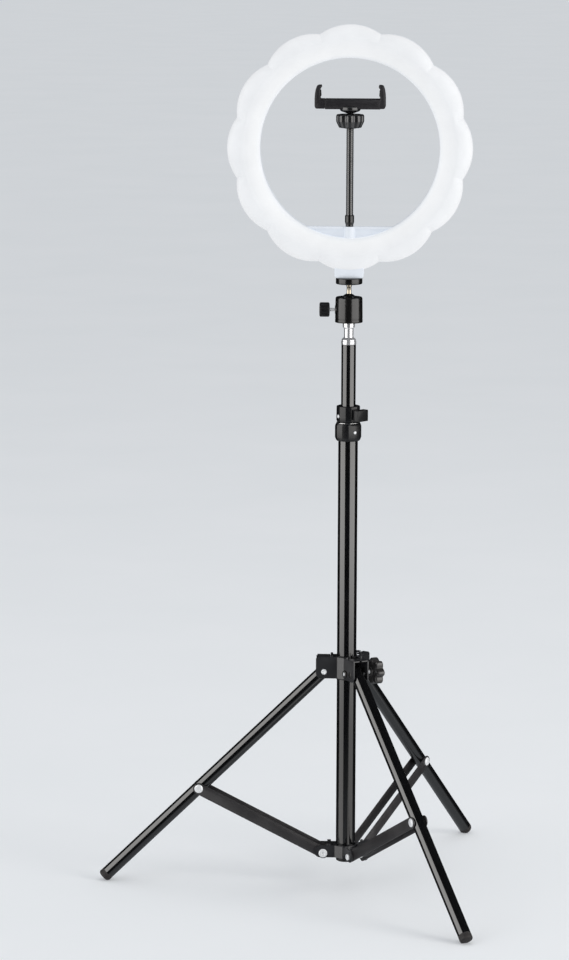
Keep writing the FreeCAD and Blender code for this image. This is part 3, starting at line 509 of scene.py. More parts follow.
# rear shell
def back_sections(inset):
    secs = []
    hr = HOLE_R + inset
    pts = [(hr, -2.0), (hr, 9.6 - inset)]
    pts += [(hr + 0.6, 11.6 - inset), (hr + 2.0, 13.2 - inset), (hr + 4.2, 14.0 - inset), (hr + 9, 14.0 - inset), (109.5, 14.0 - inset), (116.0, 14.0 - inset)]
    for r, y in pts:
        secs.append(lambda t, r=r, y=y: (r, y))
    for k in range(1, 11):
        phi = k / 10 * math.pi / 2

        def f(t, phi=phi):
            R = outline(t) - inset
            r = 117.0 + (R - 117.0) * math.sin(phi)
            return r, 7.0 + (7.0 - inset) * math.cos(phi) ** 0.8
        secs.append(f)
    secs.append(lambda t: (outline(t) - inset, -1.72))
    secs.append(lambda t: (outline(t) - inset - 0.28, -2.0))
    return secs


def boolean(ob_verts_faces, cutters, op="DIFFERENCE"):
    """Exact boolean of closed meshes, all in millimetres."""
    def tmp(vf, nm):
        me = bpy.data.meshes.new(nm)
        me.from_pydata([tuple(np.asarray(p) * MM) for p in vf[0]], [], [tuple(f) for f in vf[1]])
        bm = bmesh.new()
        bm.from_mesh(me)
        bmesh.ops.remove_doubles(bm, verts=bm.verts, dist=1e-7)
        bmesh.ops.recalc_face_normals(bm, faces=bm.faces)
        bm.to_mesh(me)
        bm.free()
        o = bpy.data.objects.new(nm, me)
        scene.collection.objects.link(o)
        return o
    base = tmp(ob_verts_faces, "tmp_base")
    cut = tmp(merge(*cutters), "tmp_cut")
    md = base.modifiers.new("b", "BOOLEAN")
    md.object = cut
    md.operation = op
    md.solver = "EXACT"
    md.use_self = op == "UNION"
    dg = bpy.context.evaluated_depsgraph_get()
    me = bpy.data.meshes.new_from_object(base.evaluated_get(dg))
    bpy.data.objects.remove(base)
    bpy.data.objects.remove(cut)
    v = np.array([x.co for x in me.vertices], float) / MM
    f = [tuple(p.vertices) for p in me.polygons]
    bpy.data.meshes.remove(me)
    return v, f


def rounded_box(x0, y0, z0, x1, y1, z1, r=0.6, seg=3):
    """Box with rounded vertical-to-horizontal edges: an XY rounded outline, lofted in Z with rounded top and bottom."""
    def ring(inset, z):
        q = [(x0 + inset, y0 + inset), (x1 - inset, y0 + inset), (x1 - inset, y1 - inset), (x0 + inset, y1 - inset)]
        rr = max(r - inset, 0.02)
        return [(p[0], p[1], z) for p in bend_corners(q, rr, seg)]
    rows = []
    for k in range(seg + 1):
        t = math.pi / 2 * k / seg
        rows.append(ring(r * (1 - math.sin(t)), z0 + r * (1 - math.cos(t))))
    for k in range(seg + 1):
        t = math.pi / 2 * k / seg
        rows.append(ring(r * (1 - math.cos(t)), z1 - r + r * math.sin(t)))
    n = len(rows[0])
    v = [p for row in rows for p in row]
    f = grid_faces(len(rows), n)
    f.append(tuple(reversed(range(n))))
    f.append(tuple(range((len(rows) - 1) * n, len(rows) * n)))
    return np.array(v), f


def cylinder(r, a, b, n=32):
    o = np.array(a, float)
    d = np.array(b, float) - o
    h = float(np.linalg.norm(d))
    return turn([(0.02, 0), (r, 0), (r, h), (0.02, h)], n=n, origin=a, axis=d, closed=False)


POSTS = [(109.5 * math.cos(math.radians(60 * k)), RING_Z + 109.5 * math.sin(math.radians(60 * k))) for k in range(6)]
back = back_sections(0.0)
back_in = back_sections(2.0)
shell = lobed_loft(back + back_in[::-1])
cutters = []
for px, pz in POSTS:
    cutters.append(cylinder(2.75, (px, 12.6, pz), (px, 20, pz), 28))
for k in range(6):
    a = math.radians(60 * k + 30)
    c = np.array([109.0 * math.cos(a), 0, RING_Z + 109.0 * math.sin(a)])
    for d in (-6.0, 0.0, 6.0):
        o = bend_corners([(-6, -1), (6, -1), (6, 1), (-6, 1)], 0.99, 4)
        v, f = prism(o, 10.0, 20.0)
        v = np.array([(p[0], p[2], p[1] + d) for p in v])
        rot = 60 * k + 30 - 90
        v = rotated(v, (0, 0, 0), (0, -1, 0), rot) + c
        cutters.append((v, f))
shell = boolean(shell, cutters)
add("rear_shell", *shell, M["shell"], "lamp", "white_shell", ("rear_housing",), smooth=34)

# screw pillars inside the shell
pill = [turn(bend_corners([(1.35, 2.8), (3.2, 2.8), (3.2, 12.2), (1.35, 12.2)], 0.2, 2), n=28, origin=(px, 0, pz), axis=(0, 1, 0)) for px, pz in POSTS]
pill += [turn(bend_corners([(1.3, -11.6), (3.2, -11.6), (3.2, 0.9), (1.3, 0.9)], 0.2, 2), n=28, origin=(px, 0, pz), axis=(0, 1, 0)) for px, pz in POSTS]
add("screw_pillars", *merge(*pill), M["shell"], "lamp", "white_shell", ("rear_housing",))


# neck block: rounded slab that runs up behind the bottom lobe
def neck_section(z, sx, y0, y1, r):
    return [(p[0], p[1], z) for p in bend_corners([(-sx, y0), (sx, y0), (sx, y1), (-sx, y1)], r, 6)]


rows = []
R = 3.5
for k in range(9):
    t = math.pi / 2 * k / 8
    e = 1 - math.sin(t)
    rows.append(neck_section(665.8 + R * (1 - math.cos(t)), 15.5 - R * e * 0.55, -9.0 + R * e, 13.0 - R * e, 1.3))
for z in (670.0, 675.0, 680.0, 684.0):
    rows.append(neck_section(z, 15.5, -9.0, 13.0, 1.3))
rows.append(neck_section(686.0, 15.2, -1.6, 13.0, 1.3))
rows.append(neck_section(692.0, 15.0, -1.6, 12.6, 1.3))
n = len(rows[0])
v = np.array([p for row in rows for p in row])
f = grid_faces(len(rows), n)
f.append(tuple(reversed(range(n))))
f.append(tuple(range((len(rows) - 1) * n, len(rows) * n)))
neck_cut = [cylinder(6.0, (0, 0, 660), (0, 0, 672.9), 48), cylinder(3.4, (0, 0, 670), (0, 0, 675.0), 32),
            cylinder(3.9, (0, 8.4, 672.2), (0, 20, 672.2), 40)]
nv, nf = boolean((v, f), neck_cut)
add("neck_block", nv, nf, M["shell"], "lamp", "white_shell", ("rear_housing",), smooth=36)

# tray across the bottom of the hole: recessed panel, rim along its top edge, boss for the arm
half = math.sqrt((HOLE_R + 0.7) ** 2 - (RING_Z - 720.0) ** 2)


def segment(radius, top, n=64):
    hx = math.sqrt(radius ** 2 - (RING_Z - top) ** 2)
    a0 = math.atan2(top - RING_Z, -hx)
    a1 = math.atan2(top - RING_Z, hx)
    return [(radius * math.cos(a), RING_Z + radius * math.sin(a)) for a in np.linspace(a0, a1, n)]


seg_pts = segment(HOLE_R + 0.7, 719.0)
v, f = prism(seg_pts, 3.0, 6.0)
panel = (np.array([(p[0], p[2], p[1]) for p in v]), f)
rim_o = [(-half + 0.4, 718.0), (-half - 0.4, 720.0), (half + 0.4, 720.0), (half - 0.4, 718.0)]
rv, rf = prism(bend_corners([(-half + 0.9, 717.9), (half - 0.9, 717.9), (half + 0.1, 720.0), (-half - 0.1, 720.0)], [0.1, 0.1, 0.5, 0.5], 3), -1.5, 7.5)
rim = (np.array([(p[0], p[2], p[1]) for p in rv]), rf)
add("tray_panel", *panel, M["shell"], "lamp", "white_shell", ("rear_housing",), bevel=0.3)
boss = turn(bend_corners([(4.2, 706.4), (5.6, 706.4), (5.6, 720.15), (4.2, 720.15)], [0.1, 0.5, 0.5, 0.2], 3), n=64)
boss_back = rounded_box(-5.6, 0.2, 706.6, 5.6, 4.2, 719.6, 0.5)
add("tray_rim", *boolean(rim, [cylinder(4.3, (0, 0, 700), (0, 0, 730), 48)]), M["shell"], "lamp", "white_shell", ("rear_housing",), bevel=0.35, seg=3)
add("tray_boss", *boss, M["shell"], "lamp", "white_shell", ("rear_housing",))
# buttress ribs behind the boss that tie it to the ring's edge
rib = []
for s in (-1, 1):
    v, f = prism([(s * 5.4, 708.0), (s * 5.4, 718.6), (s * 26.0, 718.6), (s * 22.0, 712.4)], 5.9, 9.4)
    rib.append((np.array([(p[0], p[2], p[1]) for p in v]), f))
add("tray_ribs", *merge(*rib), M["shell"], "lamp", "white_shell", ("rear_housing",), bevel=0.3)

for nm, mat in (("led_board", "pcb"), ("housing_screws", "zinc"), ("threaded_inserts", "brass"), ("power_inlet", "socket"),
                ("ball_cup", "nylon"), ("bottom_plug", "nylon_black"), ("upper_tube_bush", "nylon_black"), ("middle_tube_bush", "nylon_black"),
                ("spider_sleeve", "nylon_black"), ("socket_seat", "nylon"), ("leg_bushes_1", "nylon_black"), ("leg_bushes_2", "nylon_black"),
                ("leg_bushes_3", "nylon_black")):
    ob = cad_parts[nm]
    ob.data.materials.clear()
    ob.data.materials.append(M[mat])

# ------------------------------------------------------------------ ball head
def thread(pitch, depth):
    return lambda t, r, h: r - depth * (0.5 + 0.5 * math.cos(2 * math.pi * (h / pitch) - t))


ball = [(0.02, 631.0)]
for k in range(2, 34):
    a = -math.pi / 2 + (math.pi * k / 36)
    r, z = 9.0 * math.cos(a), 640.0 + 9.0 * math.sin(a)
    if z > 640 and r < 2.95:
        break
    ball.append((r, z))
ball += [(2.75, 648.6), (2.55, 649.1), (2.5, 649.8), (2.5, 655.6), (2.5, 656.2)]
add("head_ball", *solid_turn([(0, 631.0)] + ball[1:-5] + [(2.6, 648.9), (0, 649.0)], 0.0, n=96), M["alloy"], "ball_stem", "stem_steel", ("ball_stem",), smooth=50)
stem_rows = [(0.02, 647.5), (2.72, 647.5), (2.72, 648.9), (2.5, 649.5), (2.5, 656.0), (3.05, 656.5)]
stem_rows += [(3.05, 656.5 + 0.25 * k) for k in range(1, 58)]
stem_rows += [(2.6, 671.4), (0.02, 671.5)]


def stem_wob(t, r, h):
    if r > 3.0 and h > 656.6:
        return r - 0.3 * (0.5 + 0.5 * math.cos(2 * math.pi * h / 1.27 - t))
    return r


add("head_stem", *turn(stem_rows, n=40, closed=False, wob=stem_wob), M["stem"], "ball_stem", "stem_steel", ("ball_stem",), smooth=50)


def knurl(count, depth, lo, hi):
    def f(t, r, h):
        if lo <= h <= hi:
            return r - depth * (0.5 + 0.5 * math.cos(count * t)) ** 0.6
        return r
    return f


disc_p = [(3.15, 659.0), (12.9, 659.0), (13.6, 659.2), (14.0, 659.6), (14.15, 660.2), (14.15, 664.5), (14.0, 665.1), (13.6, 665.5), (12.9, 665.7), (3.15, 665.7)]
add("lock_disc_fine", *turn(disc_p, n=160), M["alloy"], "lock_disc", "black_alloy", ("lock_disc",), smooth=48)

hp = [(0.02, 618.0), (13.9, 618.0), (14.5, 618.15), (14.72, 618.6), (14.75, 621.1), (14.62, 621.42), (14.3, 621.52), (14.24, 621.75), (14.3, 622.05), (14.66, 622.2),
      (14.7, 622.7), (14.64, 625.6), (14.58, 630), (14.50, 636), (14.42, 641.5), (14.36, 643.6), (14.1, 644.5), (13.5, 645.15), (12.7, 645.3),
      (9.2, 645.3), (8.7, 645.1), (8.35, 644.6), (7.75, 643.4), (7.72, 642.2), (8.7, 641.2)]
for k in range(0, 9):
    a = math.radians(6 - 14 * k / 2)
    hp.append((9.07 * math.cos(a), 640 + 9.07 * math.sin(a)))
hp += [(0.02, 630.5)]
body_v, body_f = turn(hp, n=128, closed=False)
lug_v, lug_f = solid_turn([(0, 11.3), (4.9, 11.3), (4.9, 13.6), (4.4, 14.9), (2.1, 14.9), (2.1, 12.0), (0, 12.0)], 0.25, n=48, origin=(0, 0, KNOB_Z), axis=(-1, 0, 0))
add("ball_housing", body_v, body_f, M["alloy"], "upper_section", "black_alloy", ("ball_head_housing",), smooth=40)
add("ball_housing_lug", lug_v, lug_f, M["alloy"], "upper_section", "black_alloy", ("ball_head_housing",), smooth=40)


# fluted lock knob along -X
def flutes(count, depth, lo, hi, fade=0.9):
    def f(t, r, h):
        g = min(1.0, max(0.0, (h - lo) / fade)) * min(1.0, max(0.0, (hi - h) / fade))
        g = g * g * (3 - 2 * g)
        c = 0.5 + 0.5 * math.cos(count * t)
        return r - depth * g * c ** 2.2 if r > 4 else r
    return f


kp = [(0.02, 20.6), (4.6, 20.6), (6.6, 20.8), (7.25, 21.15), (7.62, 21.7)] + [(7.75, 22.1 + 0.45 * k) for k in range(18)] + \
     [(7.68, 30.3), (7.4, 30.85), (6.9, 31.2), (6.2, 31.35), (5.6, 31.2), (5.3, 30.95), (3.0, 30.95), (0.02, 30.95)]
add("ball_lock_knob_fine", *turn(kp, n=192, origin=(0, 0, KNOB_Z), axis=(-1, 0, 0), closed=False, wob=flutes(12, 1.05, 21.3, 30.5)), M["knob"], "head_knob",
    "knob_plastic", ("ball_lock_knob",), smooth=46)
sp = [(0.02, 11.4), (1.6, 11.4)] + [(1.9, 11.8 + 0.2 * k) for k in range(56)] + [(1.9, 24.0), (0.02, 24.0)]
add("ball_lock_screw_fine", *turn(sp, n=32, origin=(0, 0, KNOB_Z), axis=(-1, 0, 0), closed=False,
                                  wob=lambda t, r, h: r - 0.2 * (0.5 + 0.5 * math.cos(2 * math.pi * h / 0.8 - t)) if 11.7 < h < 20 and r > 1.7 else r),
    M["chrome"], "head_knob", "rivet_steel", ("ball_lock_screw",), smooth=50)

sg = [(0, 574.0), (6.3, 574.0), (7.04, 575.0), (7.04, 594.4), (8.0, 594.4), (8.0, 597.4), (7.7, 597.9), (7.7, 599.6), (5.3, 601.8), (5.1, 602.6), (5.1, 611.5),
      (6.45, 612.8), (6.45, 618.0), (3.1, 618.0), (3.1, 625.3), (0, 625.5)]
add("spigot_fine", *solid_turn(sg, 0.45, 4, n=96), M["spigot"], "upper_section", "spigot_chrome", ("spigot",), smooth=42)

# ------------------------------------------------------------------ mast tubes
add("upper_tube_fine", *ring_tube(7.75, 7.05, 122.5, 594.4, 0.3), M["tube"], "upper_section", "black_tube", ("upper_tube",), smooth=40)
add("middle_tube_fine", *ring_tube(9.0, 8.3, 42.0, 522.0, 0.3), M["tube"], "middle_section", "black_tube", ("middle_tube",), smooth=40)
add("lower_tube_fine", *ring_tube(10.5, 9.7, 29.5, 505.0, 0.35), M["tube"], "mast", "black_tube", ("lower_tube",), smooth=40)


# ------------------------------------------------------------------ height collars
def facets(count, phase, lo_r, sharp=0.62):
    """Turns a round section into one with flats; sharp 0 is round and 1 has true corners."""
    step = 2 * math.pi / count

    def f(t, r, h):
        if r < lo_r:
            return r
        a = (t - phase + step / 2) % step - step / 2
        flat = math.cos(step / 2) / math.cos(a)
        return r * (1 + sharp * (flat - 1))
    return f


def lug_block(x0, x1, half_w, z0, z1, r):
    """Rounded pad standing out of a collar round the knob's screw, before it is turned to its azimuth."""
    o = bend_corners([(-half_w, z0), (half_w, z0), (half_w, z1), (-half_w, z1)], r, 6)
    rows = []
    for x, inset in ((x0, 0.0), (x1 - 0.7, 0.0), (x1 - 0.3, 0.12), (x1 - 0.08, 0.35), (x1, 0.7)):
        cx, cz = 0.0, (z0 + z1) / 2
        row = []
        for p in o:
            d = np.array([p[0] - cx, p[1] - cz])
            q = d * (1 - inset / max(np.linalg.norm(d), 1e-6))
            row.append((x, q[0] + cx, q[1] + cz))
        rows.append(row)
    n = len(rows[0])
    v = np.array([p for row in rows for p in row])
    f = grid_faces(len(rows), n)
    f.append(tuple(reversed(range(n))))
    f.append(tuple(range((len(rows) - 1) * n, len(rows) * n)))
    return v, f


uc = [(7.83, 522.2), (7.83, 527.8), (8.1, 528.3), (11.7, 528.3), (12.3, 528.1), (12.65, 527.6), (12.72, 526.9), (12.75, 522), (12.8, 517.0), (12.8, 513.1),
      (12.5, 512.2), (11.9, 511.2), (11.4, 510.7), (9.2, 510.7), (9.02, 510.9), (9.02, 521.9)]
v1, f1 = turn(uc, n=180, wob=facets(12, math.radians(6), 11.0, 0.35))
lv, lf = lug_block(11.2, 13.2, 4.6, UKZ - 6.6, UKZ + 6.6, 1.6)
bv, bf = turn(bend_corners([(2.05, 11.5), (4.2, 11.5), (4.2, 13.7), (2.05, 13.7)], [0.1, 0.1, 0.5, 0.2], 4), n=56, origin=(0, 0, UKZ), axis=(1, 0, 0))
add("upper_collar_body", v1, f1, M["collar"], "middle_section", "collar_plastic", ("upper_clamp_collar",), smooth=30)
add("upper_collar_lug", *merge((spin(lv, UK_AZ), lf), (spin(bv, UK_AZ), bf)), M["collar"], "middle_section", "collar_plastic", ("upper_clamp_collar",), smooth=34)

lc = [(9.05, 505.1), (9.05, 510.1), (9.3, 510.5), (12.2, 510.5), (12.6, 510.2), (12.9, 509.6), (13.5, 508.4), (13.95, 507.4), (14.15, 506.2),
      (14.15, 495.0), (13.9, 493.8), (12.9, 491.6), (12.2, 490.8), (10.8, 490.8), (10.52, 491.0), (10.52, 504.9)]
v1, f1 = turn(lc, n=180, wob=facets(12, math.radians(-71), 12.4, 0.8))
lv, lf = lug_block(12.4, 14.5, 5.0, LKZ - 7.0, LKZ + 6.6, 1.8)
bv, bf = turn(bend_corners([(2.05, 12.8), (4.4, 12.8), (4.4, 15.0), (2.05, 15.0)], [0.1, 0.1, 0.5, 0.2], 4), n=56, origin=(0, 0, LKZ), axis=(1, 0, 0))
add("lower_collar_body", v1, f1, M["collar"], "mast", "collar_plastic", ("lower_clamp_collar",), smooth=22)
add("lower_collar_lug", *merge((spin(lv, LK_AZ), lf), (spin(bv, LK_AZ), bf)), M["collar"], "mast", "collar_plastic", ("lower_clamp_collar",), smooth=34)


# bright lip at the seam of the two collars
lip = [(12.1 + 0.5 * math.cos(2 * math.pi * k / 12), 510.35 + 0.42 * math.sin(2 * math.pi * k / 12)) for k in range(12)]
add("collar_seam_ring", *turn(lip, n=120), M["bright"], "mast", "collar_plastic", ("lower_clamp_collar",), smooth=60)


def rivet_head(radius, r_out, az, z, h=0.75):
    """Domed rivet with a struck centre, pointing away from the mast's axis."""
    p = [(0.02, -2.2), (1.05, -2.2), (1.05, 0.0), (radius, 0.0), (radius, 0.15)]
    for k in range(1, 7):
        a = math.pi / 2 * k / 7
        p.append((radius * math.cos(a) ** 0.8 if k < 7 else 0, 0.15 + (h - 0.15) * math.sin(a)))
    p += [(0.55, h - 0.02), (0.4, h - 0.18), (0.02, h - 0.24)]
    a = math.radians(az)
    d = (math.cos(a), math.sin(a), 0)
    return turn(p, n=36, origin=(r_out * d[0], r_out * d[1], z), axis=d, closed=False)


add("upper_collar_rivet_fine", *rivet_head(1.9, 12.6, 214.0, 517.5), M["chrome"], "middle_section", "rivet_steel", ("upper_collar_rivet",), smooth=45)


def paddle(az, z, x0, x1, half_w, half_h, arc_r, hub_r, hub0, slot_w, slot_h, screw0):
    """Flat rectangular paddle on its screw, along +X before it is turned to its azimuth."""
    wing_o = bend_corners([(-half_w, -half_h), (-half_w, half_h), (half_w, half_h), (half_w, -half_h)], 0.9, 5)

    def loft(o, xa, xb, e):
        rows = []
        for x, inset in ((xa, e), (xa + e * 0.35, e * 0.35), (xa + e, 0.0), (xb - e, 0.0), (xb - e * 0.35, e * 0.35), (xb, e)):
            row = []
            for p in o:
                q = np.array(p) * (1 - inset / max(np.linalg.norm(p), 1e-6))
                row.append((x, q[0], q[1] + z))
            rows.append(row)
        n = len(rows[0])
        v = np.array([p for row in rows for p in row])
        f = grid_faces(len(rows), n)
        f.append(tuple(reversed(range(n))))
        f.append(tuple(range((len(rows) - 1) * n, len(rows) * n)))
        return v, f
    block = loft(wing_o, x0, x1, 0.45)
    hub = turn(bend_corners([(0.03, hub0), (hub_r, hub0), (hub_r, x0 + 1.5), (0.03, x0 + 1.5)], [0, 0.5, 0.3, 0], 4, closed=False), n=56, origin=(0, 0, z), axis=(1, 0, 0), closed=False)
    screw_rows = [(0.02, screw0), (1.6, screw0)] + [(2.0, screw0 + 0.35 + 0.2 * k) for k in range(int((hub0 - screw0 - 0.4) / 0.2) + 1)] + [(2.0, hub0 + 0.6), (0.02, hub0 + 0.6)]
    screw = turn(screw_rows, n=28, origin=(0, 0, z), axis=(1, 0, 0), closed=False,
                 wob=lambda t, r, h: r - 0.18 * (0.5 + 0.5 * math.cos(2 * math.pi * h / 0.8 - t)) if r > 1.8 else r)
    v, f = merge(block, hub)
    return (spin(v, az), f), (spin(screw[0], az), screw[1])


pl, sc = paddle(UK_AZ, UKZ, 14.6, 21.25, 8.2, 6.1, 9.4, 4.0, 13.8, 2.4, 3.2, 7.95)
add("upper_paddle", *pl, M["knob"], "upper_knob", "knob_plastic", ("upper_clamp_knob",), smooth=36)
add("upper_paddle_screw", *sc, M["zinc"], "upper_knob", "knob_plastic", ("upper_clamp_knob",), smooth=48)
pl, sc = paddle(LK_AZ, LKZ, 16.4, 23.45, 8.6, 6.4, 9.8, 4.2, 15.1, 2.5, 3.3, 9.2)
add("lower_paddle", *pl, M["knob"], "lower_knob", "knob_plastic", ("lower_clamp_knob",), smooth=36)
add("lower_paddle_screw", *sc, M["zinc"], "lower_knob", "knob_plastic", ("lower_clamp_knob",), smooth=48)


# ------------------------------------------------------------------ folded sheet brackets
def folded_bracket(mid_n, thick, mid_d, z0, z1, ear_r, lo_round, hi_round, bend_r, top_cut=None):
    """Three folded sheets between neighbouring ears. Returns one mesh per sheet as (verts, faces)."""
    sheets = []
    for az in (LEG_AZ[1], LEG_AZ[2], LEG_AZ[3]):
        rho = (mid_d - mid_n * math.cos(math.radians(30))) / 0.5

        def at(a, r, nn):
            q = radial(a, r, nn, 0)
            return q[:2]
        p0, p1 = at(az, ear_r, mid_n), at(az, rho, mid_n)
        p2, p3 = at(az + 120, rho, -mid_n), at(az + 120, ear_r, -mid_n)
        # centre line with rounded bends, then more points along the ears
        line = bend_corners([p0, p1, p2, p3], bend_r, 7, closed=False)
        dense = [line[0]]
        for a, b in zip(line, line[1:]):
            d = np.linalg.norm(b - a)
            k = max(1, int(d / 1.1))
            for j in range(1, k + 1):
                dense.append(a + (b - a) * j / k)
        line = np.array(dense)
        tang = np.gradient(line, axis=0)
        tang /= np.linalg.norm(tang, axis=1)[:, None]
        nrm = np.stack([-tang[:, 1], tang[:, 0]], 1)
        s_end = np.minimum(np.linalg.norm(line - line[0], axis=1), np.linalg.norm(line - line[-1], axis=1))
        lo, hi = [], []
        for s in s_end:
            a = z0
            if s < lo_round:
                a = z0 + lo_round - math.sqrt(max(lo_round ** 2 - (lo_round - s) ** 2, 0))
            b = z1
            if hi_round and s < hi_round:
                b = z1 - hi_round + math.sqrt(max(hi_round ** 2 - (hi_round - s) ** 2, 0))
            if top_cut:
                r_here = ear_r - s
                if top_cut[0] < r_here < top_cut[1]:
                    b = min(b, top_cut[2])
            lo.append(a)
            hi.append(b)
        e = min(0.22, thick * 0.22)
        rows = []
        m = len(line)
        for side, zz, ins in ((1, "lo", e), (1, "lo2", 0), (1, "m1", 0), (1, "m2", 0), (1, "hi2", 0), (1, "hi", e), (-1, "hi", e), (-1, "hi2", 0), (-1, "m2", 0), (-1, "m1", 0),
                              (-1, "lo2", 0), (-1, "lo", e)):
            row = []
            for i in range(m):
                off = side * (thick / 2 - ins)
                z = {"lo": lo[i], "lo2": lo[i] + e, "m1": lo[i] + (hi[i] - lo[i]) * 0.33, "m2": lo[i] + (hi[i] - lo[i]) * 0.66, "hi2": hi[i] - e, "hi": hi[i]}[zz]
                q = line[i] + nrm[i] * off
                row.append((q[0], q[1], z))
            rows.append(row)
        v = np.array([p for row in rows for p in row])
        f = grid_faces(len(rows), m, close_rows=True, close_cols=False)
        f.append(tuple(i * m for i in range(len(rows))))
        f.append(tuple(reversed([i * m + m - 1 for i in range(len(rows))])))
        sheets.append((v, f))
    return sheets


def flange(az, sgn, n_out, n_in, z_join, z_top, x0, x1, thick, r_out):
    """Inward fold along an ear's top edge."""
    prof = [(n_out, z_join), (n_out, z_top), (n_in, z_top), (n_in, z_top - thick), (n_out - thick, z_top - thick), (n_out - thick, z_join)]
    o = bend_corners(prof, [0, r_out, 0.25, 0.25, max(r_out - thick, 0.15), 0], 6)
    v, f = prism(o, 0, 1)
    e = 0.2
    rows = []
    n = len(o)
    c = np.mean(np.array(o), axis=0)
    out_v = []
    for x, ins in ((x0, e), (x0 + e, 0), (x1 - e, 0), (x1, e)):
        for p in o:
            q = np.array(p)
            if ins:
                q = q + (np.array([q[0], z_top - thick / 2]) - q) * 0 
            out_v.append(radial(az, x, sgn * q[0], q[1]))
    f = grid_faces(4, n)
    f.append(tuple(reversed(range(n))))
    f.append(tuple(range(3 * n, 4 * n)))
    return np.array(out_v), f


sheets = folded_bracket(8.5, 1.2, 12.3, 231.0, 254.6, 33.0, 5.0, 1.2, 1.5, top_cut=(17.6, 32.3, 252.4))
parts = list(sheets)
for az in LEG_AZ.values():
    for sgn in (-1, 1):
        parts.append(flange(az, sgn, 9.1, 1.4, 252.2, 254.6, 18.0, 31.9, 1.15, 1.7))
        lug = rounded_box(14.9, 7.95, 252.0, 17.6, 9.05, 256.3, 0.3, 2)
        q = lug[0].copy()
        q = np.array([radial(az, p[0], sgn * p[1], p[2]) for p in q])
        parts.append((q, lug[1]))
add("spider_sheets", *merge(*parts), M["bracket"], "spider", "bracket_metal", ("spider_bracket",), smooth=34)


def pin_head(az, rho, z, n0, sgn, r, h, dimple=0.45, ring=True):
    """Rolled rivet head on an ear: flat rim, raised ring and a hollow middle."""
    p = [(0.02, -0.2), (r, -0.2), (r, h * 0.25), (r * 0.93, h * 0.6), (r * 0.78, h * 0.93), (r * 0.62, h), (r * 0.48, h * 0.9), (r * 0.36, h * (1 - dimple)),
         (r * 0.22, h * (1 - dimple * 1.25)), (0.02, h * (1 - dimple * 1.3))]
    o = radial(az, rho, sgn * n0, z)
    a = radial(az, 0, sgn * 1.0, 0)
    return turn(p, n=48, origin=o, axis=a, closed=False)


parts = []
for az in LEG_AZ.values():
    parts.append(cylinder(2.0, radial(az, PIVOT_R, -9.2, PIVOT_Z), radial(az, PIVOT_R, 9.2, PIVOT_Z), 32))
    for sgn in (-1, 1):
        if not (az == 300.0 and sgn < 0):
            parts.append(pin_head(az, PIVOT_R, PIVOT_Z, 9.15, sgn, 3.0, 1.15))
add("spider_rivets_fine", *merge(*parts), M["chrome"], "spider", "rivet_steel", ("spider_rivets",), smooth=44)
add("spider_rivet_low", *pin_head(300.0, PIVOT_R, PIVOT_Z, 9.12, -1, 3.0, 0.45, 0.1), M["alloy"], "spider", "rivet_steel", ("spider_rivets",), smooth=44)

bp = [(0.02, 0), (4.2, 0), (4.2, 0.85), (4.0, 1.25), (3.5, 1.55), (2.7, 1.68), (2.35, 1.6), (2.15, 1.25), (2.1, 0.9), (0.02, 0.9)]
add("spider_bolt_head", *turn(bp, n=56, origin=radial(300, 13.6, -9.2, BOLT_Z), axis=radial(300, 0, -1, 0), closed=False), M["alloy"], "spider_knob", "rivet_steel",
    ("spider_clamp_bolt",), smooth=40)
parts = [cylinder(2.0, radial(300, 13.6, -9.6, BOLT_Z), radial(300, 13.6, 29.0, BOLT_Z), 32)]
bc = [(0.02, 0.5), (2.0, 0.5), (2.0, 1.25), (1.8, 1.5), (1.2, 1.62), (0.02, 1.65)]
parts.append(turn(bc, n=40, origin=radial(300, 13.6, -9.2, BOLT_Z), axis=radial(300, 0, -1, 0), closed=False))
add("spider_bolt", *merge(*parts), M["chrome"], "spider_knob", "rivet_steel", ("spider_clamp_bolt",), smooth=40)


def star_r(t, lobes, r_hi, r_lo, power=1.0):
    c = 0.5 + 0.5 * math.cos(lobes * t)
    return r_lo + (r_hi - r_lo) * c ** power


rows = []
N = 168
so, su, sw, sa = frame_of(radial(300, 13.6, 0, BOLT_Z), radial(300, 0, 1, 0), (0, 0, 1))
for h, scale, flat in ((20.8, 4.7, 1), (21.1, 5.1, 1), (23.2, 5.2, 1), (23.4, 0.80, 0), (23.6, 0.90, 0), (24.1, 0.965, 0), (25.0, 1.0, 0), (30.8, 1.0, 0), (31.7, 0.975, 0), (32.3, 0.92, 0),
                       (32.6, 0.83, 0), (32.5, 0.62, 0), (32.1, 0.55, 0), (32.1, 0.05, 0)):
    row = []
    for j in range(N):
        t = 2 * math.pi * j / N
        r = scale if flat else star_r(t, 7, 14.9, 11.4, 0.7) * scale
        row.append(so + (su * math.sin(t) + sw * math.cos(t)) * r + sa * h)
    rows.append(row)
v = np.array([p for row in rows for p in row])
f = grid_faces(len(rows), N)
f.append(tuple(reversed(range(N))))
f.append(tuple(range((len(rows) - 1) * N, len(rows) * N)))
add("spider_star_knob_fine", v, f, M["star"], "spider_knob", "knob_plastic", ("spider_star_knob",), smooth=44)

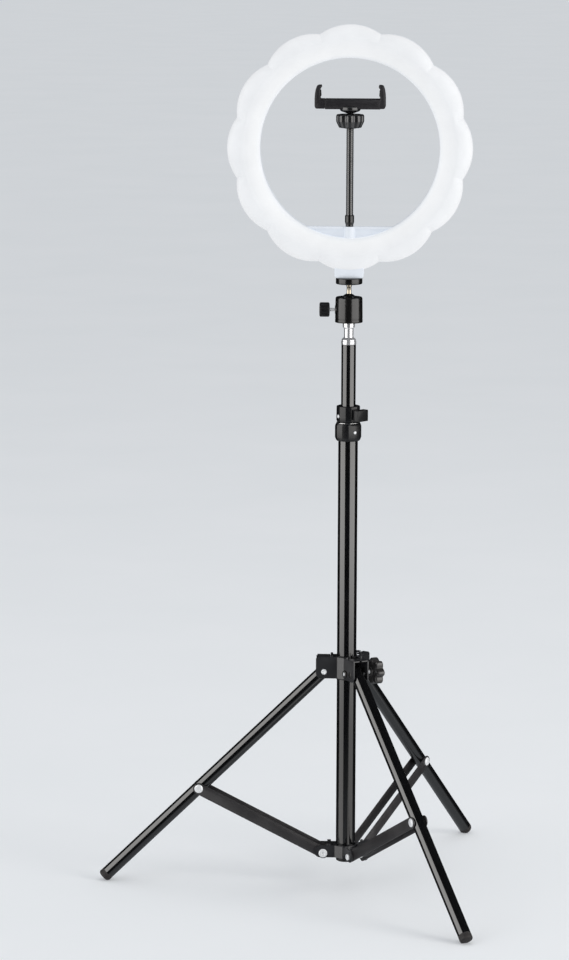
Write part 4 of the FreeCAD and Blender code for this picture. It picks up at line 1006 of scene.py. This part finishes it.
# base collar
sheets = folded_bracket(9.35, 1.5, 13.75, 31.2, 44.6, 34.0, 6.4, 6.4, 1.8)
parts = list(sheets)
parts.append(turn(bend_corners([(10.5, 31.2), (12.9, 31.2), (12.9, 44.6), (10.5, 44.6)], 0.4, 3), n=72))
for az in LEG_AZ.values():
    for sgn in (-1, 1):
        lug = rounded_box(16.2, 8.62, 41.6, 20.2, 10.08, 46.55, 0.4, 2)
        q = np.array([radial(az, p[0], sgn * p[1], p[2]) for p in lug[0]])
        parts.append((q, lug[1]))
add("base_sheets", *merge(*parts), M["bracket"], "mast", "bracket_metal", ("base_collar",), smooth=34)
parts = [rivet_head(1.6, 13.85, -56.0, 500.6, 0.7)]
for az in LEG_AZ.values():
    parts.append(cylinder(2.8, radial(az, PIVOT_R, -7.0, BASE_Z), radial(az, PIVOT_R, 7.0, BASE_Z), 32))
    parts.append(cylinder(2.0, radial(az, PIVOT_R, -10.2, BASE_Z), radial(az, PIVOT_R, 10.2, BASE_Z), 32))
    for sgn in (-1, 1):
        o, a = radial(az, PIVOT_R, sgn * 10.15, BASE_Z), radial(az, 0, sgn * 1.0, 0)
        k = 3.4 / 4.7 if az == 300.0 and sgn < 0 else 1.0
        head = [(0.02, -0.2), (4.7 * k, -0.2), (4.7 * k, 0.6), (4.5 * k, 1.05), (3.9 * k, 1.4), (2.9 * k, 1.5), (1.7 * k, 1.5), (1.5 * k, 1.35), (1.4 * k, 0.9), (1.35 * k, 0.25), (0.02, 0.2)]
        parts.append(turn(head, n=48, origin=o, axis=a, closed=False))
add("mast_rivets_fine", *merge(*parts), M["chrome"], "mast", "rivet_steel", ("mast_rivets",), smooth=44)


# ------------------------------------------------------------------ legs, feet, braces
def hang(az, v_mm, pivot_z, deg, up=False):
    """Local frame: x outwards from the mast, y across, z along the part, swung about the pivot by deg."""
    a = math.radians(deg)
    out = []
    for x, y, z in v_mm:
        if up:
            rx = x * math.cos(a) + z * math.sin(a)
            rz = -x * math.sin(a) + z * math.cos(a)
        else:
            rx = x * math.cos(a) - z * math.sin(a)
            rz = x * math.sin(a) + z * math.cos(a)
        out.append(radial(az, PIVOT_R + rx, y, pivot_z + rz))
    return np.array(out)


def leg_mesh():
    """Tube with its top end dressed to a round about the pivot; open and thin-walled."""
    n = 72
    ro, ri, rt = 7.0, 6.2, 8.0
    top = lambda x: math.sqrt(max(rt ** 2 - x ** 2, 0.0))
    zb = -LEG_END + 7.0
    rows = []
    specs = [(ro - 0.25, "t0"), (ro, "t1")] + [(ro, k) for k in range(1, 9)] + [(ro, "b1"), (ro - 0.25, "b0"), (ri, "b0")] + [(ri, "t0")]
    for r, where in specs:
        row = []
        for j in range(n):
            t = 2 * math.pi * j / n
            x, y = r * math.cos(t), r * math.sin(t)
            zt = top(ro * math.cos(t)) if r > ri else top(ri * math.cos(t))
            z = {"t0": zt, "t1": zt - 0.25, "b1": zb + 0.25, "b0": zb}.get(where) if isinstance(where, str) else zt - 0.5 + (zb + 0.6 - zt) * where / 9
            row.append((x, y, z))
        rows.append(row)
    v = np.array([p for row in rows for p in row])
    return v, grid_faces(len(rows), n, close_rows=True)


LEGV, LEGF = leg_mesh()
zf = -LEG_END
fp = [(0.02, zf), (4.6, zf), (5.7, zf + 0.15), (6.5, zf + 0.55), (7.0, zf + 1.3), (7.1, zf + 2.0), (7.1, zf + 2.9), (6.85, zf + 3.1), (6.85, zf + 3.5), (7.1, zf + 3.7),
      (7.1, zf + 4.6), (6.85, zf + 4.8), (6.85, zf + 5.2), (7.1, zf + 5.4), (7.1, zf + 6.7), (6.95, zf + 7.0), (6.2, zf + 7.0), (6.2, zf + 19.0), (0.02, zf + 19.0)]
FOOTV, FOOTF = turn(fp, n=72, closed=False)


def strip_mesh(n0, n1):
    """Flat bar with round ends, in the x-z plane, between two pins; edges eased."""
    r = 6.25
    o = []
    for k in range(25):
        a = math.pi * k / 24
        o.append((r * math.cos(a), BRACE_B + r * math.sin(a)))
    for k in range(25):
        a = math.pi + math.pi * k / 24
        o.append((r * math.cos(a), r * math.sin(a)))
    rows = []
    e = 0.22
    for y, ins in ((n0, e), (n0 + e * 0.4, e * 0.3), (n0 + e, 0), (n1 - e, 0), (n1 - e * 0.4, e * 0.3), (n1, e)):
        row = []
        for i, p in enumerate(o):
            c = np.array([0.0, BRACE_B if i < 25 else 0.0])
            d = np.array(p) - c
            q = c + d * (1 - ins / r)
            row.append((q[0], y, q[1]))
        rows.append(row)
    n = len(o)
    v = np.array([p for row in rows for p in row])
    f = grid_faces(len(rows), n)
    f.append(tuple(reversed(range(n))))
    f.append(tuple(range((len(rows) - 1) * n, len(rows) * n)))
    return v, f


for i, az in LEG_AZ.items():
    s = str(i)
    add("leg_" + s, hang(az, LEGV, PIVOT_Z, LEG_ALPHA), LEGF, M["tube"], "leg_" + s, "black_tube", ("leg_tube_" + s,), smooth=42)
    fv = hang(az, FOOTV, PIVOT_Z, LEG_ALPHA)
    fv[:, 2] = np.maximum(fv[:, 2], 0.0)
    add("foot_" + s + "_fine", fv, FOOTF, M["rubber"], "leg_" + s, "foot_rubber", ("foot_" + s,), smooth=40)
    bars = []
    for sgn in (-1, 1):
        a, b = sorted((sgn * 7.2, sgn * 8.4))
        v, f = strip_mesh(a, b)
        bars.append((hang(az, v, BASE_Z, BRACE_BETA, up=True), f))
    add("brace_" + s + "_bars", *merge(*bars), M["strip"], "brace_" + s, "bracket_metal", ("brace_strips_" + s,), smooth=40)
    heads = []
    pin = hang(az, [(0, 0, BRACE_B)], BASE_Z, BRACE_BETA, up=True)[0]
    e_n = radial(az, 0, 1, 0)
    for sgn in (-1, 1):
        heads.append(turn([(0.02, -1.3), (2.0, -1.3), (2.0, 0.0), (4.7, 0.0), (4.7, 0.3), (4.5, 0.62), (4.0, 0.95), (3.2, 1.22), (2.2, 1.4), (1.1, 1.48), (0.02, 1.5)],
                          n=48, origin=pin + e_n * sgn * 8.4, axis=e_n * sgn, closed=False))
    add("brace_" + s + "_rivets", *merge(*heads), M["chrome"], "brace_" + s, "rivet_steel", ("brace_rivets_" + s,), smooth=44)

# ------------------------------------------------------------------ phone holder
fe = [(0, 711.6), (2.9, 711.6), (2.9, 720.2), (4.1, 720.2), (4.1, 722.2), (4.9, 724.8), (4.9, 731.4), (4.3, 732.4), (0, 732.4)]
add("arm_ferrule_fine", *solid_turn(fe, 0.4, 4, n=72, wob=lambda t, r, h: r - 0.22 * (0.5 + 0.5 * math.cos(24 * t)) if 725.2 < h < 731 and r > 4.5 else r), M["alloy"], "lamp",
    "black_alloy", ("arm_ferrule",), smooth=44)


def goose(z0, z1, cap=True):
    n, pitch, R, d = 36, 2.0, 3.85, 0.42
    rows = []
    steps = int(round((z1 - z0) / pitch * 8))
    for i in range(steps + 1):
        z = z0 + (z1 - z0) * i / steps
        row = []
        for j in range(n):
            t = 2 * math.pi * j / n
            ph = (z / pitch - t / (2 * math.pi)) % 1.0
            rib = abs(math.sin(math.pi * ph)) ** 0.55
            r = R - d + d * rib
            row.append((r * math.cos(t), r * math.sin(t), z))
        rows.append(row)
    v = [p for row in rows for p in row]
    f = grid_faces(len(rows), n)
    f.append(tuple(reversed(range(n))))
    f.append(tuple(range((len(rows) - 1) * n, len(rows) * n)))
    return np.array(v), f


SEG = (GN_Z1 - GN_Z0) / 4
J = [GN_Z0 + SEG * (k + 1) for k in range(3)]
cuts = [GN_Z0 - 0.6, (J[0] + J[1]) / 2, (J[1] + J[2]) / 2, GN_Z1 + 0.6]
for k in range(3):
    nm = "gooseneck_" + "abc"[k]
    nodes = {0: ("gooseneck_link_1", "gooseneck_link_2"), 1: ("gooseneck_link_3",), 2: ("gooseneck_link_4",)}[k]
    v, f = goose(cuts[k], cuts[k + 1])
    me = bpy.data.meshes.new(nm)
    me.from_pydata([tuple(p) for p in v * MM], [], f)
    bm = bmesh.new()
    bm.from_mesh(me)
    bmesh.ops.recalc_face_normals(bm, faces=bm.faces)
    bm.to_mesh(me)
    bm.free()
    ob = bpy.data.objects.new(nm, me)
    scene.collection.objects.link(ob)
    me.materials.append(M["gooseneck"])
    for p in me.polygons:
        p.use_smooth = len(p.vertices) == 4
    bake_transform(ob)
    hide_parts(*nodes)

co = [(0, 823.8), (6.2, 823.8), (6.4, 825.6), (8.0, 827.2), (8.0, 836.4), (7.7, 836.6), (5.6, 836.6), (6.04, 834.0)]
for k in range(1, 9):
    a = math.radians(-k * 9)
    co.append((6.05 * math.cos(a), 834 + 6.05 * math.sin(a)))
co += [(0, 828.2)]
add("socket_collet_fine", *solid_turn(co, 0.0, n=72, wob=lambda t, r, h: r - 0.25 * (0.5 + 0.5 * math.cos(2 * math.pi * h / 1.25 - t)) if r > 7.85 else r), M["nylon_black"], "neck_4",
    "knob_plastic", ("socket_collet",), smooth=44)

np_ = [(8.1, 836.9), (8.05, 827.3), (8.3, 825.4), (9.2, 824.5), (11.2, 824.5), (11.9, 824.9), (12.5, 826.2), (13.7, 828.7), (14.5, 830.4), (14.85, 831.6), (14.85, 836.8), (14.6, 837.7),
       (14.0, 838.4), (13.3, 838.7), (7.9, 838.7), (7.4, 838.5), (7.3, 838.0), (7.3, 837.1)]


def nut_wob(t, r, h):
    if r < 9.0:
        return r
    c = 0.5 + 0.5 * math.cos(8 * (t - math.pi / 8))
    g = min(1.0, (r - 9.0) / 5.0)
    return r - 1.9 * g * c ** 2.0


dense = []
for a, b in zip(np_, np_[1:] + np_[:1]):
    k = max(1, int(math.hypot(b[0] - a[0], b[1] - a[1]) / 1.2))
    dense += [(a[0] + (b[0] - a[0]) * j / k, a[1] + (b[1] - a[1]) * j / k) for j in range(k)]
add("socket_nut_fine", *turn(dense, n=192, wob=nut_wob), M["nut"], "socket_nut", "knob_plastic", ("socket_nut",), smooth=38)

bs = [(0, 828.0)]
for k in range(1, 30):
    a = -math.pi / 2 + math.pi * k / 32
    r, z = 6.0 * math.cos(a), 834 + 6.0 * math.sin(a)
    if z > 834 and r < 3.4:
        break
    bs.append((r, z))
bs += [(3.0, 839.6), (3.0, 841.5), (3.0, 847.2), (0, 847.3)]
add("holder_stud_fine", *solid_turn(bs, 0.0, n=64), M["knob"], "phone_clamp", "knob_plastic", ("holder_ball_stud",), smooth=44)

# clamp body: flared foot, bar, fixed jaw
ff = [(3.05, 839.9), (4.6, 839.9), (5.8, 840.55), (7.2, 841.05), (8.6, 841.5), (9.7, 842.0), (10.5, 842.7), (10.9, 843.5), (10.95, 844.6), (10.9, 846.2), (10.2, 846.8), (3.05, 846.8)]
foot_m = turn(ff, n=96)
bar_o = bend_corners([(-8.0, 844.2), (8.0, 844.2), (8.0, 855.0), (-8.0, 855.0)], 1.3, 5)


def along_x(o, x0, x1, e=0.5):
    c = np.mean(np.array(o), axis=0)
    rows = []
    for x, ins in ((x0, e), (x0 + 0.3 * e, 0.3 * e), (x0 + e, 0), (x1 - e, 0), (x1 - 0.3 * e, 0.3 * e), (x1, e)):
        row = []
        for p in o:
            d = np.array(p) - c
            q = c + d * (1 - ins / max(np.abs(d).max(), 1e-6))
            row.append((x, q[0], q[1]))
        rows.append(row)
    n = len(o)
    v = np.array([p for row in rows for p in row])
    f = grid_faces(len(rows), n)
    f.append(tuple(reversed(range(n))))
    f.append(tuple(range((len(rows) - 1) * n, len(rows) * n)))
    return v, f


bar = along_x(bar_o, -26.6, 31.9, 0.45)
tongue_hole = rounded_box(-29.0, -5.05, 847.75, 24.0, 5.05, 852.85, 0.2, 2)
groove1 = rounded_box(-22.0, -8.6, 849.1, 27.0, -7.75, 850.3, 0.4, 3)
groove2 = rounded_box(-22.0, 7.75, 849.1, 27.0, 8.6, 850.3, 0.4, 3)
bar = boolean(bar, [tongue_hole, groove1, groove2])
add("clamp_bar", *bar, M["clamp"], "phone_clamp", "clamp_plastic", ("clamp_body",), smooth=32)
add("clamp_foot", *foot_m, M["nut"], "phone_clamp", "clamp_plastic", ("clamp_body",), smooth=42)


def jaw(sign, inner_x):
    """Side profile of a jaw in the x-z plane, leaning inwards at its top, lofted across its width with eased edges."""
    pts = [(inner_x, 844.7), (36.2, 844.8), (37.5, 847.2), (37.5, 855.8), (37.2, 860.2), (36.5, 864.6), (35.2, 868.4), (33.4, 869.3), (30.3, 869.4), (30.0, 867.4), (31.2, 865.6),
           (31.9, 864.4), (31.6, 860.6), (31.4, 856.4), (31.2, 855.0)]
    if inner_x < 31:
        pts += [(inner_x, 855.0)]
    rad = [0.6, 1.4, 2.0, 3.0, 4.0, 4.0, 1.6, 1.0, 0.5, 0.6, 0.8, 1.2, 2.0, 0.6, 0.4] + ([0.6] if inner_x < 31 else [])
    o = bend_corners([(sign * p[0], p[1]) for p in pts], rad, 4)
    rows = []
    c = np.array([sign * 34.4, 858.0])
    e = 0.9
    oo = np.array(o)
    # inward normals for the eased edges
    nx = np.roll(oo, -1, 0) - np.roll(oo, 1, 0)
    nx /= np.maximum(np.linalg.norm(nx, axis=1)[:, None], 1e-9)
    nn = np.stack([-nx[:, 1], nx[:, 0]], 1)
    area = 0.5 * np.sum(oo[:, 0] * np.roll(oo[:, 1], -1) - np.roll(oo[:, 0], -1) * oo[:, 1])
    if area < 0:
        nn = -nn
    for y, ins in ((-8.0, 0.26), (-7.9, 0.12), (-7.7, 0.03), (-7.4, 0.0), (-4, 0), (0, 0), (4, 0), (7.4, 0.0), (7.7, 0.03), (7.9, 0.12), (8.0, 0.26)):
        for p, q in zip(oo, nn):
            r = p + q * ins
            rows.append((r[0], y, r[1]))
    n = len(oo)
    k = 11
    f = grid_faces(k, n)
    f.append(tuple(reversed(range(n))))
    f.append(tuple(range((k - 1) * n, k * n)))
    return np.array(rows), f


add("fixed_jaw", *jaw(1, 31.2), M["clamp"], "phone_clamp", "clamp_plastic", ("clamp_body",), smooth=36)
add("moving_jaw", *jaw(-1, 26.8), M["clamp"], "jaw", "clamp_plastic", ("sliding_jaw",), smooth=36)
tong = boolean(rounded_box(-30.0, -5.0, 847.8, 8.0, 5.0, 852.8, 0.3, 3), [rounded_box(-22.0, -3.0, 845.0, 12.0, 3.0, 856.0, 0.6, 3)])
add("moving_jaw_tongue", *tong, M["clamp"], "jaw", "clamp_plastic", ("sliding_jaw",), smooth=34)


def pad(sign):
    o = bend_corners([(sign * 31.5, 857.4), (sign * 30.6, 858.0), (sign * 31.0, 864.0), (sign * 31.95, 864.3)], 0.25, 3)
    v, f = prism(o, -6.5, 6.5)
    base = (np.array([(p[0], p[2], p[1]) for p in v]), f)
    ribs = []
    for k in range(6):
        z = 858.8 + k * 0.9
        x = 30.62 + (z - 858.0) * 0.067
        ribs.append(rounded_box(min(sign * (x - 0.12), sign * (x + 0.5)), -6.3, z - 0.2, max(sign * (x - 0.12), sign * (x + 0.5)), 6.3, z + 0.2, 0.12, 2))
    return merge(base, *ribs)


add("fixed_pad", *pad(1), M["pad"], "phone_clamp", "pad_rubber", ("fixed_jaw_pad",), smooth=36)
add("moving_pad", *pad(-1), M["pad"], "jaw", "pad_rubber", ("sliding_jaw_pad",), smooth=36)

# spring inside the clamp: a real coil with hooked ends
def coil(x0, x1, radius, wire, turns_n, z):
    path = []
    n = turns_n * 14
    for i in range(n + 1):
        a = 2 * math.pi * turns_n * i / n
        path.append(((x0 + 1.4) + (x1 - x0 - 2.8) * i / n, radius * math.cos(a), z + radius * math.sin(a)))
    path = [(x0, 0, z + 0.2), (x0 + 0.7, 0, z + 0.9)] + path + [(x1 - 0.7, 0, z + 0.9), (x1, 0, z + 0.2)]
    P = np.array(path)
    T = np.gradient(P, axis=0)
    T /= np.linalg.norm(T, axis=1)[:, None]
    verts, m = [], 10
    ref = np.array([0.0, 0.0, 1.0])
    u = np.cross(T[0], ref)
    u /= np.linalg.norm(u)
    for p, t in zip(P, T):
        u = u - t * (u @ t)
        u /= np.linalg.norm(u)
        w = np.cross(t, u)
        for j in range(m):
            a = 2 * math.pi * j / m
            verts.append(p + wire * (u * math.cos(a) + w * math.sin(a)))
    f = grid_faces(len(P), m)
    f.append(tuple(reversed(range(m))))
    f.append(tuple(range((len(P) - 1) * m, len(P) * m)))
    return np.array(verts), f


sv, sf = coil(-21.0, 4.6, 1.6, 0.34, 26, 850.3)
me = bpy.data.meshes.new("jaw_spring_coil")
me.from_pydata([tuple(p) for p in np.asarray(sv, float) * MM], [], [tuple(f) for f in sf])
me.update()
bm = bmesh.new()
bm.from_mesh(me)
bmesh.ops.recalc_face_normals(bm, faces=bm.faces)
bm.to_mesh(me)
bm.free()
for p in me.polygons:
    p.use_smooth = len(p.vertices) == 4
me.materials.append(M["zinc"])
spring = bpy.data.objects.new("jaw_spring_coil", me)
scene.collection.objects.link(spring)
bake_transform(spring)
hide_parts("jaw_spring")

# ------------------------------------------------------------------ stage, light, camera
YAW = math.radians(2.65)


def rz(p):
    c, s = math.cos(YAW), math.sin(YAW)
    return Vector((p[0] * c - p[1] * s, p[0] * s + p[1] * c, p[2]))


def stage_plane(name, corners, mat):
    me = bpy.data.meshes.new(name)
    me.from_pydata([tuple(c) for c in corners], [], [(0, 1, 2, 3)])
    me.update()
    ob = bpy.data.objects.new(name, me)
    scene.collection.objects.link(ob)
    me.materials.append(mat)
    return ob


fm, fnt, fb = material("stage_floor")
fv = coords(fnt)
fn = noise(fnt, fv, 3.0, 4.0)
fnt.links.new(ramp(fnt, fn.outputs["Fac"], [(0.3, (0.74, 0.75, 0.755)), (0.7, (0.765, 0.77, 0.775))]), fb.inputs["Base Color"])
fb.inputs["Roughness"].default_value = 0.9
fb.inputs["Emission Color"].default_value = (0.94, 0.97, 1.0, 1)
fb.inputs["Emission Strength"].default_value = 0.20
fb.inputs["Specular IOR Level"].default_value = 0.0
floor = stage_plane("stage_floor", [(-60, -60, -0.0004), (60, -60, -0.0004), (60, 60, -0.0004), (-60, 60, -0.0004)], fm)
floor.visible_glossy = False


def glow_panel(name, az_lo, az_hi, radius, z0, z1, top, low):
    """Curved soft box seen only in reflections: brighter above, fading towards the floor."""
    n = 24
    verts, faces = [], []
    for i in range(n + 1):
        a = math.radians(az_lo + (az_hi - az_lo) * i / n)
        p = rz((radius * math.sin(a), -radius * math.cos(a), 0))
        verts += [(p.x, p.y, z0), (p.x, p.y, z1)]
    for i in range(n):
        faces.append((2 * i, 2 * i + 1, 2 * i + 3, 2 * i + 2))
    me = bpy.data.meshes.new(name)
    me.from_pydata(verts, [], faces)
    ob = bpy.data.objects.new(name, me)
    scene.collection.objects.link(ob)
    m = bpy.data.materials.new(name)
    m.use_nodes = True
    nt = m.node_tree
    nt.nodes.clear()
    out = nt.nodes.new("ShaderNodeOutputMaterial")
    em = nt.nodes.new("ShaderNodeEmission")
    tc = nt.nodes.new("ShaderNodeTexCoord")
    sep = nt.nodes.new("ShaderNodeSeparateXYZ")
    nt.links.new(tc.outputs["Object"], sep.inputs[0])
    mr = nt.nodes.new("ShaderNodeMapRange")
    mr.interpolation_type = "SMOOTHSTEP"
    mr.inputs["From Min"].default_value = -0.75
    mr.inputs["From Max"].default_value = 0.30
    mr.inputs["To Min"].default_value = low
    mr.inputs["To Max"].default_value = top
    nt.links.new(sep.outputs["Z"], mr.inputs["Value"])
    nt.links.new(mr.outputs["Result"], em.inputs["Strength"])
    em.inputs["Color"].default_value = (1.0, 0.985, 0.965, 1)
    nt.links.new(em.outputs[0], out.inputs["Surface"])
    me.materials.append(m)
    ob.visible_camera = False
    ob.visible_diffuse = False
    ob.visible_shadow = False
    ob.visible_transmission = False
    ob.visible_volume_scatter = False
    return ob


glow_panel("stage_softbox_left", -98, -34, 2.6, -2.4, 2.6, 2.5, 1.05)
glow_panel("stage_softbox_right", 24, 90, 2.6, -2.4, 2.6, 2.5, 0.85)


def area(name, loc, target, sx, sy, power, color=(1, 1, 1)):
    li = bpy.data.lights.new(name, "AREA")
    li.shape = "RECTANGLE"
    li.size, li.size_y = sx, sy
    li.energy = power
    li.color = color
    ob = bpy.data.objects.new(name, li)
    scene.collection.objects.link(ob)
    ob.location = rz(loc)
    d = Vector(target) - ob.location
    ob.rotation_euler = d.to_track_quat("-Z", "Y").to_euler()
    ob.visible_glossy = False
    ob.visible_camera = False
    return ob


area("stage_key", (3.0, -1.5, 1.5), (0, 0, 0.45), 1.4, 1.6, 40, (1.0, 0.985, 0.96))
area("stage_fill", (-2.6, -2.2, 1.6), (0, 0, 0.5), 2.2, 2.0, 16, (0.95, 0.975, 1.0))
area("stage_top", (0.2, 0.6, 3.2), (0, 0, 0.3), 2.4, 2.4, 8)

world = bpy.data.worlds.new("stage_world")
scene.world = world
world.use_nodes = True
wn = world.node_tree
wn.nodes.clear()
wo = wn.nodes.new("ShaderNodeOutputWorld")
lp = wn.nodes.new("ShaderNodeLightPath")
soft = wn.nodes.new("ShaderNodeBackground")
dark = wn.nodes.new("ShaderNodeBackground")
soft.inputs["Color"].default_value = (0.93, 0.96, 1.0, 1)
soft.inputs["Strength"].default_value = 0.62
dark.inputs["Color"].default_value = (0.9, 0.95, 1.0, 1)
wtc = wn.nodes.new("ShaderNodeTexCoord")
wsep = wn.nodes.new("ShaderNodeSeparateXYZ")
wn.links.new(wtc.outputs["Generated"], wsep.inputs[0])
below = wn.nodes.new("ShaderNodeMapRange")
below.interpolation_type = "SMOOTHSTEP"
below.inputs["From Min"].default_value = -0.62
below.inputs["From Max"].default_value = -0.30
below.inputs["To Min"].default_value = 0.34
below.inputs["To Max"].default_value = 0.012
wn.links.new(wsep.outputs["Z"], below.inputs["Value"])
wn.links.new(below.outputs["Result"], dark.inputs["Strength"])
mx = wn.nodes.new("ShaderNodeMixShader")
wn.links.new(lp.outputs["Is Glossy Ray"], mx.inputs["Fac"])
wn.links.new(soft.outputs[0], mx.inputs[1])
wn.links.new(dark.outputs[0], mx.inputs[2])
wn.links.new(mx.outputs[0], wo.inputs["Surface"])

cam_data = bpy.data.cameras.new("camera")
cam = bpy.data.objects.new("camera", cam_data)
scene.collection.objects.link(cam)
scene.camera = cam
cam_data.sensor_fit = "AUTO"
cam_data.sensor_width = 36.0
cam_data.lens = 3770.0 * 36.0 / 960.0
cam_data.shift_y = 88.1 / 960.0
cam_data.clip_start, cam_data.clip_end = 0.1, 200.0
pitch, cyaw, roll = math.radians(10.62), math.radians(0.09), math.radians(0.20)
fwd = Vector((math.sin(cyaw) * math.cos(pitch), math.cos(cyaw) * math.cos(pitch), -math.sin(pitch)))
right = Vector((math.cos(cyaw), -math.sin(cyaw), 0))
up = right.cross(fwd)
r2 = right * math.cos(roll) + up * math.sin(roll)
u2 = up * math.cos(roll) - right * math.sin(roll)
fwd, r2, u2 = rz(fwd), rz(r2), rz(u2)
pos = rz((-0.074, -4.0, 1.101))
cam.matrix_world = Matrix(((r2.x, u2.x, -fwd.x, pos.x), (r2.y, u2.y, -fwd.y, pos.y), (r2.z, u2.z, -fwd.z, pos.z), (0, 0, 0, 1)))
